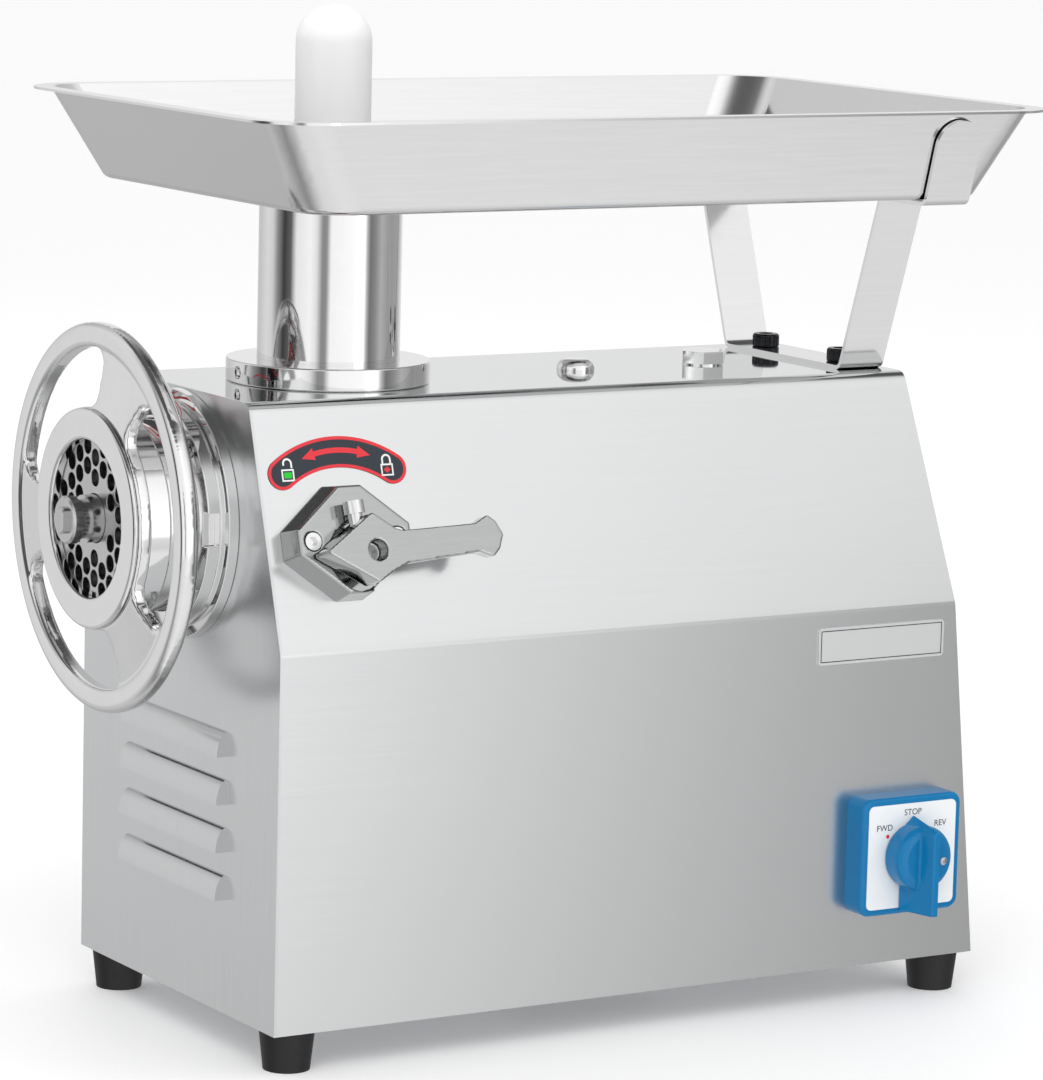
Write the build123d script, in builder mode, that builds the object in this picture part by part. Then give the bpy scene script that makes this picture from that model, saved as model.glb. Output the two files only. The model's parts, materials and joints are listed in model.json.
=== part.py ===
from build123d import *
import math
import os

# Electric meat grinder with a side lock lever and a feed tray, all sizes in millimetres.
# +Z is up, the auger runs along X with its outlet at -X, and the switch is on the -Y side.
# The origin is on the floor, under the middle of the overall box.

# ---- fits ----
running_gap = 0.05        # radial, shaft in a bearing
sliding_gap = 0.3         # radial, pieces that are put in and taken out by hand

# ---- housing ----
body_length = 404.0
body_width = 206.0
body_height = 296.0
side_height = 182.0       # upright lower part of each long side
top_width = 134.0
sheet = 1.5
rear_lean = 0.1           # the rear end leans in by this share of the height
bend_radius = 6.0
base_thickness = 2.0
foot_height = 19.5
foot_top_radius = 13.5
foot_bottom_radius = 11.3
foot_inset_front = 14.5
foot_inset_rear = 15.0
foot_inset_side = 14.0
foot_screw_radius = 2.5
foot_screw_head_radius = 5.5
foot_screw_head_height = 3.0

# ---- louvres on the outlet end ----
louver_count = 4
louver_width = 103.0
louver_height = 12.0
louver_bulge = 5.5
louver_wall = 1.2
louver_pitch = 23.2
louver_first_height = 55.5

# ---- grinding head ----
axis_drop = 61.0          # auger axis below the top plate
plate_radius = 41.0
plate_thickness = 8.0
plate_hole_radius = 4.1
plate_hole_pitch = 9.7
plate_hub_radius = 15.5
plate_margin = 1.6
knife_thickness = 10.0
knife_square = 16.0
knife_blade_width = 13.0
nut_front = 51.4          # front of the ring nut, ahead of the outlet end
nut_lip = 5.4
nut_opening_radius = 37.8
nut_skirt_length = 21.4
nut_hub_radius = 52.9
nut_skirt_radius = 51.0   # the wheel is pressed on over this, against the hub's front flange
barrel_radius = 46.0
barrel_bore_radius = 34.0
barrel_length_inside = 128.0
barrel_end_wall = 8.0
barrel_mouth_setback = 2.0
wheel_rim_radius = 93.2
wheel_rim_width = 11.7
wheel_rim_setback = 4.8
wheel_rim_depth = 10.0
wheel_web_setback = 2.5
wheel_web_depth = 7.0
wheel_spoke_count = 3
wheel_spoke_angle = 33.0  # how much of the circle each spoke takes up
wheel_first_spoke = 68.0
wheel_window_radius = 9.0
wheel_ring_width = 0.3    # how far the wheel's inner ring stands out past the hub
auger_core_radius = 14.0
auger_flight_pitch = 36.0
auger_flight_thickness = 6.0
auger_flight_gap = 0.8
auger_tail_radius = 11.7
auger_tail_length = 16.0
stub_reach = 10.6         # how far the auger stub stands out of the ring nut
stub_tip_length = 2.5
stub_tip_radius = 6.5
stub_collar_radius = 11.5
stub_collar_length = 5.0
stub_groove_radius = 9.4
stub_groove_length = 5.0
pin_radius = 2.0
pin_length = 10.0

# ---- mounting ring on the outlet end ----
ring_outer_radius = 60.5
ring_outer_thickness = 5.5
ring_face_radius = 56.0
ring_thickness = 14.0
ring_screw_count = 4
ring_screw_circle = 51.2
ring_screw_head_radius = 3.6
ring_screw_head_height = 4.0
ring_screw_radius = 2.4
ring_notch_width = 16.0
ring_notch_depth = 6.0
label_thickness = 0.4
ring_label_width = 7.0
ring_label_span = 56.0

# ---- feed neck, tray and pusher ----
neck_offset = 79.2        # neck axis behind the outlet end
neck_radius = 34.8
neck_bore_radius = 27.0
neck_height = 91.5        # from the top plate to the underside of the tray
neck_spigot_radius = 30.5
neck_spigot_length = 12.0
collar_radius = 49.8
collar_thickness = 11.0
grub_screw_radius = 3.0
throat_radius = 37.0
tray_length = 444.0
tray_width = 278.4
tray_offset = 196.5       # middle of the tray behind the outlet end
tray_depth = 44.5
tray_rim = 8.0
tray_sheet = 1.2
tray_end_lean = 24.5      # how far an end wall leans out over the tray's depth
tray_side_lean = 12.7     # the same for a side wall
tray_corner_radius = 32.0
tray_edge_radius = 5.0    # outside, between the floor and the walls
tray_spigot_length = 15.0
pusher_radius = 18.5
pusher_dome = 17.5
pusher_length = 209.0
pusher_gap = 0.6          # between the pusher and the auger flight it stops above

# ---- tray bracket and the hardware on the top plate ----
bracket_width = 26.0
bracket_thickness = 2.0
bracket_from_rear = 1.9   # clear of the rear edge of the top plate
bracket_base_half = 51.0
bracket_arm_half = 81.5   # where the arms turn outwards under the tray
bracket_tab_height = 41.0
bracket_tray_gap = 0.8
bracket_bend_radius = 3.0
bracket_screw_spacing = 68.0
bracket_screw_head_radius = 6.9
bracket_screw_head_height = 6.7
bracket_screw_radius = 4.0
bracket_screw_grip = 8.0
hardware_shift = 6.0      # plug and cap sit this far towards the switch side
plug_offset = 292.5
plug_across_flats = 20.5
plug_head_height = 6.2
plug_washer_radius = 10.0
plug_washer_thickness = 0.8
plug_thread_radius = 8.0
plug_thread_length = 10.0
cap_offset = 217.0
cap_radius = 9.5
cap_height = 5.8
cap_brim = 0.8

# ---- head lock on the sloping side ----
lock_offset = 42.5        # lever axis behind the outlet end
lock_rise = 43.0          # lever axis above the bend, measured up the slope
flange_offset = 40.0
flange_rise = 51.0
flange_half_width = 32.0
flange_half_height = 27.5
flange_corner_flat = 7.0
flange_thickness = 14.0
flange_draft = 9.0
flange_recess_radius = 17.0
flange_recess_depth = 8.0
flange_screw_radius = 2.0
flange_screw_head_radius = 4.2
flange_screw_head_height = 4.5
flange_screw_inset = 9.5
shaft_radius = 8.0
shaft_reach_inside = 40.0
cam_radius = 9.0
cam_throw = 3.0
cam_thickness = 8.0
lever_back = 15.0         # back of the lever boss above the sloping side
lever_boss_thickness = 15.0
lever_arm_thickness = 8.0
lever_reach = 68.0
lever_boss_left = 27.0
lever_boss_half_height = 15.0
lever_boss_top = 18.0
lever_arm_width = 13.5
lever_tail_width = 20.0
lever_rise_angle = 3.0
lever_hole_radius = 5.0
lever_hole_depth = 9.0
clamp_across = -4.0       # clamp screw of the lever, beside the hole
clamp_depth = 9.5         # its axis behind the front of the boss
clamp_head_rise = 19.0    # its head above the hole
clamp_head_radius = 5.0
clamp_head_length = 6.0
clamp_shank_radius = 3.4
clamp_shank_length = 12.0
side_label_radius = 51.5
side_label_width = 15.0
side_label_span = 70.0

# ---- nameplate and switch on the upright side ----
nameplate_length = 76.0
nameplate_height = 18.6
nameplate_thickness = 0.8
nameplate_offset = 340.7
nameplate_rise = 165.0
switch_offset = 354.0
switch_rise = 58.0
switch_size = 60.0
switch_thickness = 14.0
switch_corner_radius = 6.0
switch_label_size = 53.0
switch_label_thickness = 0.4
knob_radius = 17.0
knob_disc_thickness = 8.0
knob_grip_height = 13.3
knob_grip_length = 54.0
knob_grip_width = 15.0
knob_grip_draft = 14.0
knob_gap = 0.4
knob_screw_radius = 1.8
spindle_radius = 3.0
switch_body_size = 44.0
switch_body_depth = 30.0

# ---- drive ----
gear_module = 2.0
output_teeth = 45
output_pinion_teeth = 15
motor_gear_teeth = 44
motor_pinion_teeth = 14
output_gear_width = 20.0
motor_gear_width = 16.0
case_wall = 4.0
case_front_wall = 10.0
nose_length = 10.0
case_gear_gap = 3.0
case_length = 64.0
cover_thickness = 8.0
gear_end_gap = 4.0
output_shaft_radius = 15.0
output_bearing_radius = 24.0
layshaft_radius = 10.0
layshaft_bearing_radius = 15.0
rotor_shaft_radius = 8.0
rotor_bearing_radius = 17.0
bearing_recess = 2.0
motor_radius = 62.0
motor_shell_wall = 3.0
motor_rear_gap = 18.0     # from the end cap to the rear panel
motor_cap_thickness = 6.0
stator_wall = 21.0
stator_front_gap = 18.0
stator_rear_gap = 34.0
rotor_gap = 0.8
fan_radius = 50.0
fan_blade_count = 8
fan_blade_height = 12.0
fan_hub_radius = 14.0
fan_disc_thickness = 2.0
cradle_length = 90.0
cradle_width = 84.0
cradle_wrap = 14.0
capacitor_radius = 18.0
capacitor_height = 72.0
capacitor_offset = 62.0
gland_rise = 40.0
gland_hex_across = 19.0
gland_hex_height = 7.0
gland_dome_radius = 8.5
gland_dome_height = 8.0
gland_thread_radius = 8.0
gland_bore_radius = 4.2
gland_nut_thickness = 5.0
vent_slot_count = 7
vent_slot_length = 60.0
vent_slot_width = 5.0
vent_slot_pitch = 12.0
vent_slot_rise = 95.0

# ---- values that follow from the sizes above ----
tray_half_reach = tray_length / 2
overall_front = nut_front + stub_reach + stub_tip_length
outlet_x = (overall_front - tray_offset - tray_half_reach) / 2
bottom_z = foot_height
bend_z = bottom_z + side_height
top_z = bottom_z + body_height
axis_z = top_z - axis_drop
slope_run = (body_width - top_width) / 2
slope_angle = math.degrees(math.atan2(slope_run, body_height - side_height))
lean_angle = math.degrees(math.atan(rear_lean))
neck_x = outlet_x + neck_offset

sin_slope = math.sin(math.radians(slope_angle))
cos_slope = math.cos(math.radians(slope_angle))
sin_lean = math.sin(math.radians(lean_angle))
cos_lean = math.cos(math.radians(lean_angle))

# Outlet end: local x runs to the switch side, local y runs up, and z points out of the end.
outlet_plane = Plane(origin=(outlet_x, 0, bottom_z), x_dir=(0, -1, 0), z_dir=(-1, 0, 0))
head_plane = Plane(origin=(outlet_x, 0, axis_z), x_dir=(0, -1, 0), z_dir=(-1, 0, 0))
# Lengthwise section through the auger axis: local x runs into the housing, local y runs up.
head_section = Plane(origin=(outlet_x, 0, axis_z), x_dir=(1, 0, 0), z_dir=(0, -1, 0))
head_axis = Axis(origin=(outlet_x, 0, axis_z), direction=(1, 0, 0))
# Sides: local x runs back from the outlet end, local y runs up the panel, z points outwards.
side_plane = Plane(origin=(outlet_x, -body_width / 2, bottom_z), x_dir=(1, 0, 0), z_dir=(0, -1, 0))
slope_plane = Plane(
    origin=(outlet_x, -body_width / 2, bend_z),
    x_dir=(1, 0, 0),
    z_dir=(0, -cos_slope, sin_slope),
)
rear_plane = Plane(
    origin=(outlet_x + body_length, 0, bottom_z),
    x_dir=(0, 1, 0),
    z_dir=(cos_lean, 0, sin_lean),
)
top_plane = Plane(origin=(outlet_x, 0, top_z), x_dir=(1, 0, 0), z_dir=(0, 0, 1))


def housing_outline(inset, bottom):
    """Points of the housing's cross-section, moved inwards by inset, down to the given height."""
    half_side = body_width / 2 - inset
    bend = side_height - inset * math.tan(math.radians(slope_angle) / 2)
    half_top = top_width / 2 - inset * (1 - sin_slope) / cos_slope
    top = body_height - inset
    right = [(half_side, bottom), (half_side, bend), (half_top, top)]
    left = [(-across, up) for across, up in reversed(right)]
    return right + left


def gear_points(teeth, tooth_angle):
    """Outline of a spur gear with straight flanks and one tooth centred on tooth_angle."""
    pitch_radius = gear_module * teeth / 2
    tip_radius = pitch_radius + 0.85 * gear_module
    root_radius = pitch_radius - 1.15 * gear_module
    half_pitch = 0.19 * math.pi * gear_module
    half_tip = half_pitch - 0.85 * gear_module * math.tan(math.radians(20))
    half_root = half_pitch + 1.15 * gear_module * math.tan(math.radians(20))
    points = []
    for tooth in range(teeth):
        middle = math.radians(tooth_angle) + 2 * math.pi * tooth / teeth
        corners = [(root_radius, -half_root), (tip_radius, -half_tip)]
        corners += [(tip_radius, half_tip), (root_radius, half_root)]
        for radius, half in corners:
            angle = middle + half / radius
            points.append((radius * math.cos(angle), radius * math.sin(angle)))
    return points


def arc_band(radius, width, span, middle_angle):
    """A curved band with round ends, centred on the sketch origin."""
    with BuildLine() as middle_line:
        CenterArc((0, 0), radius, middle_angle - span / 2, span)
    with BuildSketch(mode=Mode.PRIVATE) as band:
        SlotArc(middle_line.edge(), height=width)
    return band.sketch


os.makedirs("parts", exist_ok=True)

# ================= housing =================
with BuildPart() as housing_wrap:
    with BuildSketch(outlet_plane.offset(-sheet)) as wrap_outer:
        Polygon(*housing_outline(0, 0), align=None)
        fillet(wrap_outer.vertices().sort_by(Axis.Y)[2:], radius=bend_radius)
    extrude(amount=-body_length)
    with BuildSketch(outlet_plane) as wrap_inner:
        Polygon(*housing_outline(sheet, -sheet), align=None)
        fillet(wrap_inner.vertices().sort_by(Axis.Y)[2:], radius=bend_radius - sheet)
    extrude(amount=-body_length - sheet, mode=Mode.SUBTRACT)
    split(bisect_by=rear_plane.offset(-sheet), keep=Keep.BOTTOM)
    # hole for the feed throat
    with BuildSketch(top_plane):
        with Locations((neck_offset, 0)):
            Circle(neck_spigot_radius + sliding_gap)
    extrude(amount=-2 * sheet, mode=Mode.SUBTRACT)
    # holes for the plug, the vent cap and the bracket screws
    top_rear = body_length - rear_lean * body_height - sheet
    bracket_offset = top_rear - bracket_from_rear - bracket_width / 2
    screw_spots = [(bracket_offset, side * bracket_screw_spacing / 2) for side in (1, -1)]
    with BuildSketch(top_plane):
        with Locations((plug_offset, -hardware_shift)):
            Circle(plug_thread_radius)
        with Locations((cap_offset, -hardware_shift)):
            Circle(cap_radius / 2)
        with Locations(*screw_spots):
            Circle(bracket_screw_radius)
    extrude(amount=-2 * sheet, mode=Mode.SUBTRACT)
    # holes for the lock shaft and the switch spindle
    with BuildSketch(slope_plane):
        with Locations((lock_offset, lock_rise)):
            Circle(cam_radius + cam_throw + sliding_gap)
    extrude(amount=-2 * sheet, mode=Mode.SUBTRACT)
    with BuildSketch(side_plane):
        with Locations((switch_offset, switch_rise)):
            Circle(2 * spindle_radius)
    extrude(amount=-2 * sheet, mode=Mode.SUBTRACT)

with BuildPart() as outlet_panel:
    with BuildSketch(outlet_plane) as panel_outer:
        Polygon(*housing_outline(0, 0), align=None)
        fillet(panel_outer.vertices().sort_by(Axis.Y)[2:], radius=bend_radius)
    extrude(amount=-sheet)
    for row in range(louver_count):
        louver_z = bottom_z + louver_first_height + row * louver_pitch
        # local x points out of the end and local y runs up
        louver_plane = Plane(origin=(outlet_x, 0, louver_z), x_dir=(-1, 0, 0), z_dir=(0, 1, 0))
        with BuildSketch(louver_plane):
            with BuildLine():
                Line((0, 0), (louver_bulge, 0))
                EllipticalCenterArc((0, 0), louver_bulge, louver_height, 0, arc_size=90)
                Line((0, louver_height), (0, 0))
            make_face()
        extrude(amount=louver_width / 2, both=True)
        inner_height = louver_height - louver_wall
        with BuildSketch(louver_plane):
            with BuildLine():
                Line((0, 0), (louver_bulge - louver_wall, 0))
                EllipticalCenterArc((0, 0), louver_bulge - louver_wall, inner_height, 0, arc_size=90)
                Line((0, inner_height), (-sheet, inner_height))
                Line((-sheet, inner_height), (-sheet, 0))
                Line((-sheet, 0), (0, 0))
            make_face()
        extrude(amount=louver_width / 2 - louver_wall, both=True, mode=Mode.SUBTRACT)
    with BuildSketch(head_plane):
        Circle(barrel_radius + sliding_gap)
    extrude(amount=-sheet, mode=Mode.SUBTRACT)
    with BuildSketch(head_plane):
        with PolarLocations(ring_screw_circle, ring_screw_count, start_angle=45):
            Circle(ring_screw_radius)
    extrude(amount=-sheet, mode=Mode.SUBTRACT)

with BuildPart() as rear_panel:
    with BuildSketch(outlet_plane.offset(-body_length / 2)) as rear_outer:
        Polygon(*housing_outline(0, 0), align=None)
        fillet(rear_outer.vertices().sort_by(Axis.Y)[2:], radius=bend_radius)
    extrude(amount=-body_length)
    split(bisect_by=rear_plane, keep=Keep.BOTTOM)
    split(bisect_by=rear_plane.offset(-sheet), keep=Keep.TOP)
    with BuildSketch(rear_plane):
        for row in range(vent_slot_count):
            with Locations((0, vent_slot_rise + row * vent_slot_pitch)):
                SlotOverall(vent_slot_length, vent_slot_width)
        with Locations((-body_width / 4, gland_rise)):
            Circle(gland_thread_radius)
    extrude(amount=-2 * sheet, mode=Mode.SUBTRACT)

foot_front = foot_inset_front
foot_rear = body_length - foot_inset_rear
foot_side = body_width / 2 - foot_inset_side
foot_spots = [
    (outlet_x + foot_front, -foot_side),
    (outlet_x + foot_front, foot_side),
    (outlet_x + foot_rear, -foot_side),
    (outlet_x + foot_rear, foot_side),
]

with BuildPart() as base_plate:
    with BuildSketch(Plane.XY.offset(bottom_z)):
        with Locations((outlet_x + sheet, 0)):
            Rectangle(body_length, body_width - 2 * sheet, align=(Align.MIN, Align.CENTER))
    extrude(amount=base_thickness)
    split(bisect_by=rear_plane.offset(-sheet), keep=Keep.BOTTOM)
    with BuildSketch(Plane.XY.offset(bottom_z)):
        with Locations(*foot_spots):
            Circle(foot_screw_radius)
        with Locations((outlet_x + body_length / 2, 0)):
            with GridLocations(vent_slot_pitch, body_width / 2, vent_slot_count, 2):
                SlotOverall(vent_slot_length / 2, vent_slot_width, rotation=90)
    extrude(amount=base_thickness, mode=Mode.SUBTRACT)

screw_recess = foot_height / 2
with BuildPart() as feet:
    with Locations(*[(along, across, 0) for along, across in foot_spots]):
        Cone(foot_bottom_radius, foot_top_radius, foot_height, align=(Align.CENTER, Align.CENTER, Align.MIN))
    with BuildSketch(Plane.XY):
        with Locations(*foot_spots):
            Circle(foot_screw_head_radius)
    extrude(amount=screw_recess, mode=Mode.SUBTRACT)
    with BuildSketch(Plane.XY):
        with Locations(*foot_spots):
            Circle(foot_screw_radius)
    extrude(amount=foot_height, mode=Mode.SUBTRACT)

with BuildPart() as foot_screws:
    with BuildSketch(Plane.XY.offset(screw_recess)):
        with Locations(*foot_spots):
            Circle(foot_screw_radius)
    extrude(amount=bottom_z + base_thickness - screw_recess)
    with BuildSketch(Plane.XY.offset(screw_recess)):
        with Locations(*foot_spots):
            Circle(foot_screw_head_radius)
    extrude(amount=-foot_screw_head_height)

# ================= mounting ring =================
with BuildPart() as mount_ring:
    with BuildSketch(head_section):
        Polygon(
            (0, barrel_radius + sliding_gap),
            (0, ring_outer_radius),
            (-ring_outer_thickness, ring_outer_radius),
            (-ring_outer_thickness - 1, ring_face_radius - 1.5),
            (-ring_outer_thickness - 2.5, ring_face_radius),
            (-ring_thickness, ring_face_radius),
            (-ring_thickness, barrel_radius + sliding_gap),
            align=None,
        )
    revolve(axis=head_axis)
    # notch on the switch side for the barrel's locating key
    with BuildSketch(head_plane.offset(ring_thickness)):
        with Locations((ring_face_radius, 0)):
            Rectangle(ring_notch_depth * 2, ring_notch_width)
    extrude(amount=-ring_notch_depth, mode=Mode.SUBTRACT)
    with BuildSketch(head_plane.offset(ring_thickness)):
        with PolarLocations(ring_screw_circle, ring_screw_count, start_angle=45):
            Circle(ring_screw_head_radius + sliding_gap)
    extrude(amount=-ring_screw_head_height, mode=Mode.SUBTRACT)
    with BuildSketch(head_plane.offset(ring_thickness)):
        with PolarLocations(ring_screw_circle, ring_screw_count, start_angle=45):
            Circle(ring_screw_radius)
    extrude(amount=-ring_thickness, mode=Mode.SUBTRACT)

with BuildPart() as ring_screws:
    with BuildSketch(head_plane.offset(ring_thickness - ring_screw_head_height)):
        with PolarLocations(ring_screw_circle, ring_screw_count, start_angle=45):
            Circle(ring_screw_radius)
    extrude(amount=-(ring_thickness - ring_screw_head_height + sheet))
    with BuildSketch(head_plane.offset(ring_thickness - ring_screw_head_height)):
        with PolarLocations(ring_screw_circle, ring_screw_count, start_angle=45):
            Circle(ring_screw_head_radius)
    extrude(amount=ring_screw_head_height)
    with BuildSketch(head_plane.offset(ring_thickness)):
        with PolarLocations(ring_screw_circle, ring_screw_count, start_angle=45):
            RegularPolygon(ring_screw_head_radius / 2, 6)
    extrude(amount=-ring_screw_head_height / 2, mode=Mode.SUBTRACT)

with BuildPart() as ring_label:
    with BuildSketch(head_plane.offset(ring_thickness)):
        add(arc_band(ring_screw_circle, ring_label_width, ring_label_span, 90))
    extrude(amount=label_thickness)

# ================= grinding head =================
plate_front = nut_front - nut_lip
plate_back = plate_front - plate_thickness
knife_back = plate_back - knife_thickness
mouth_front = plate_front - barrel_mouth_setback
with BuildPart() as barrel:
    with BuildSketch(head_section):
        Polygon(
            (-mouth_front, plate_radius + sliding_gap),
            (-mouth_front, barrel_radius),
            (barrel_length_inside, barrel_radius),
            (barrel_length_inside, auger_tail_radius + sliding_gap),
            (barrel_length_inside - barrel_end_wall, auger_tail_radius + sliding_gap),
            (barrel_length_inside - barrel_end_wall, barrel_bore_radius),
            (-knife_back, barrel_bore_radius),
            (-knife_back, plate_radius + sliding_gap),
            align=None,
        )
    revolve(axis=head_axis)
    # throat that carries the feed neck, up to the underside of the top plate
    with BuildSketch(Plane.XY.offset(axis_z)):
        with Locations((neck_x, 0)):
            Circle(throat_radius)
    extrude(amount=axis_drop - sheet)
    with BuildSketch(head_plane.offset(-neck_offset + throat_radius + 1)):
        Circle(barrel_bore_radius)
    extrude(amount=-2 * throat_radius - 2, mode=Mode.SUBTRACT)
    with BuildSketch(Plane.XY.offset(axis_z)):
        with Locations((neck_x, 0)):
            Circle(neck_bore_radius)
    extrude(amount=axis_drop, mode=Mode.SUBTRACT)
    with BuildSketch(Plane.XY.offset(top_z)):
        with Locations((neck_x, 0)):
            Circle(neck_spigot_radius + sliding_gap)
    extrude(amount=-neck_spigot_length - sliding_gap, mode=Mode.SUBTRACT)
    # hole for the plate's locating pin, across the mouth at its lowest point
    with BuildSketch(Plane.XY.offset(axis_z)):
        with Locations((outlet_x - mouth_front + pin_radius + 1, 0)):
            Circle(pin_radius)
    extrude(amount=-barrel_radius, mode=Mode.SUBTRACT)

with BuildPart() as plate_pin:
    with BuildSketch(Plane.XY.offset(axis_z - barrel_radius)):
        with Locations((outlet_x - mouth_front + pin_radius + 1, 0)):
            Circle(pin_radius)
    extrude(amount=pin_length - sliding_gap)

stub_hole_radius = stub_collar_radius + sliding_gap
plate_slot_depth = pin_length - barrel_radius + plate_radius + sliding_gap
hole_spots = []
hole_rows = int(plate_radius / plate_hole_pitch) + 1
for row in range(-hole_rows, hole_rows + 1):
    for column in range(-hole_rows - 2, hole_rows + 3):
        across = (column + row % 2 / 2) * plate_hole_pitch
        up = row * plate_hole_pitch * math.sqrt(3) / 2
        reach = math.hypot(across, up)
        inside = reach + plate_hole_radius < plate_radius - plate_margin
        if inside and reach - plate_hole_radius > plate_hub_radius - plate_margin:
            hole_spots.append((up, across))

with BuildPart() as mincing_plate:
    with BuildSketch(head_plane.offset(plate_front)):
        Circle(plate_radius)
        with Locations((0, 0)):
            Circle(stub_hole_radius, mode=Mode.SUBTRACT)
        with Locations(*hole_spots):
            Circle(plate_hole_radius, mode=Mode.SUBTRACT)
    extrude(amount=-plate_thickness)
    # open slot in the edge for the locating pin
    with BuildSketch(head_plane.offset(plate_front)):
        with Locations((0, -plate_radius)):
            Rectangle(2 * (pin_radius + sliding_gap), 2 * plate_slot_depth)
    extrude(amount=-plate_thickness, mode=Mode.SUBTRACT)

with BuildPart() as knife:
    with BuildSketch(head_plane.offset(plate_back)):
        Rectangle(2 * (plate_radius - 2), knife_blade_width)
        Rectangle(knife_blade_width, 2 * (plate_radius - 2))
        Circle(plate_hub_radius)
        Rectangle(knife_square, knife_square, mode=Mode.SUBTRACT)
    extrude(amount=-knife_thickness)

flight_start = -knife_back + auger_flight_thickness
flight_end = barrel_length_inside - barrel_end_wall - auger_flight_thickness
tail_end = barrel_length_inside + auger_tail_length
with BuildPart() as auger:
    with BuildSketch(head_section):
        Polygon(
            (-knife_back, 0),
            (-knife_back, auger_core_radius + 6),
            (-knife_back + 2, auger_core_radius + 6),
            (-knife_back + 6, auger_core_radius),
            (barrel_length_inside - barrel_end_wall - 1, auger_core_radius),
            (barrel_length_inside - barrel_end_wall - 1, auger_tail_radius),
            (tail_end, auger_tail_radius),
            (tail_end, 0),
            align=None,
        )
    revolve(axis=head_axis)
    with BuildSketch(head_plane.offset(plate_back)):
        Rectangle(knife_square, knife_square)
    extrude(amount=-knife_thickness)
    # helical flight
    flight_radius = barrel_bore_radius - auger_flight_gap
    with BuildLine() as flight_path:
        Helix(
            pitch=auger_flight_pitch,
            height=flight_end - flight_start,
            radius=auger_core_radius - 1,
            center=(outlet_x + flight_start, 0, axis_z),
            direction=(1, 0, 0),
        )
    start_point = flight_path.line @ 0
    outward = Vector(0, start_point.Y, start_point.Z - axis_z)
    flight_width = flight_radius - auger_core_radius + 1
    with BuildSketch(Plane(origin=start_point, x_dir=outward, z_dir=flight_path.line % 0)):
        Rectangle(flight_width, auger_flight_thickness, align=(Align.MIN, Align.CENTER))
    sweep(is_frenet=True)

with BuildPart() as auger_stub:
    stub_front = nut_front + stub_reach
    with BuildSketch(head_section):
        Polygon(
            (-stub_front - stub_tip_length, 0),
            (-stub_front - stub_tip_length, stub_tip_radius - 0.8),
            (-stub_front - stub_tip_length + 0.8, stub_tip_radius),
            (-stub_front, stub_tip_radius),
            (-stub_front, stub_collar_radius - 1),
            (-stub_front + 1, stub_collar_radius),
            (-stub_front + stub_collar_length, stub_collar_radius),
            (-stub_front + stub_collar_length, stub_groove_radius),
            (-stub_front + stub_collar_length + stub_groove_length, stub_groove_radius),
            (-stub_front + stub_collar_length + stub_groove_length, stub_collar_radius),
            (-plate_back, stub_collar_radius),
            (-plate_back, 0),
            align=None,
        )
    revolve(axis=head_axis)
    # key flat on the tip
    with BuildSketch(head_plane.offset(stub_front + stub_tip_length)):
        with Locations((stub_tip_radius, 0)):
            Rectangle(stub_tip_radius / 1.5, 2 * stub_tip_radius)
    extrude(amount=-stub_tip_length, mode=Mode.SUBTRACT)

web_front = nut_front - wheel_web_setback
with BuildPart() as nut_hub:
    with BuildSketch(head_section):
        Polygon(
            (-nut_front, nut_opening_radius + 1),
            (-nut_front, nut_hub_radius - 1),
            (-nut_front + 1, nut_hub_radius),
            (-web_front, nut_hub_radius),
            (-web_front, nut_skirt_radius),
            (-nut_front + nut_skirt_length - 1, nut_skirt_radius),
            (-nut_front + nut_skirt_length, nut_skirt_radius - 1),
            (-nut_front + nut_skirt_length, barrel_radius + sliding_gap),
            (-plate_front, barrel_radius + sliding_gap),
            (-plate_front, nut_opening_radius),
            (-nut_front + 1, nut_opening_radius),
            align=None,
        )
    revolve(axis=head_axis)

with BuildPart() as handwheel:
    rim_inner = wheel_rim_radius - wheel_rim_width
    rim_front = nut_front - wheel_rim_setback
    with BuildSketch(head_section):
        Polygon(
            (-rim_front, rim_inner + 1.5),
            (-rim_front, wheel_rim_radius - 2),
            (-rim_front + 2, wheel_rim_radius),
            (-rim_front + wheel_rim_depth - 3, wheel_rim_radius),
            (-rim_front + wheel_rim_depth, wheel_rim_radius - 3),
            (-rim_front + wheel_rim_depth, rim_inner + 3),
            (-rim_front + wheel_rim_depth - 3, rim_inner),
            (-rim_front + 1.5, rim_inner),
            align=None,
        )
    revolve(axis=head_axis)
    # dished web between the hub and the rim
    with BuildSketch(head_section):
        Polygon(
            (-web_front, nut_skirt_radius),
            (-web_front, nut_hub_radius + wheel_ring_width),
            (-rim_front + 1.5, rim_inner + 1),
            (-rim_front + 1.5 + wheel_web_depth, rim_inner + 1),
            (-web_front + wheel_web_depth, nut_hub_radius + wheel_ring_width),
            (-web_front + wheel_web_depth, nut_skirt_radius),
            align=None,
        )
    revolve(axis=head_axis)
    window_span = 360 / wheel_spoke_count - wheel_spoke_angle
    window_middle = wheel_first_spoke + 180 / wheel_spoke_count
    with BuildSketch(head_plane.offset(nut_front)) as windows:
        for window in range(wheel_spoke_count):
            start = window_middle + window * 360 / wheel_spoke_count - window_span / 2
            with BuildLine():
                inner_arc = CenterArc((0, 0), nut_hub_radius + wheel_ring_width, start, window_span)
                outer_arc = CenterArc((0, 0), rim_inner, start, window_span)
                Line(inner_arc @ 0, outer_arc @ 0)
                Line(inner_arc @ 1, outer_arc @ 1)
            make_face()
        fillet(windows.vertices(), radius=wheel_window_radius)
    extrude(amount=-nut_skirt_length + 1, mode=Mode.SUBTRACT)

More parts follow.
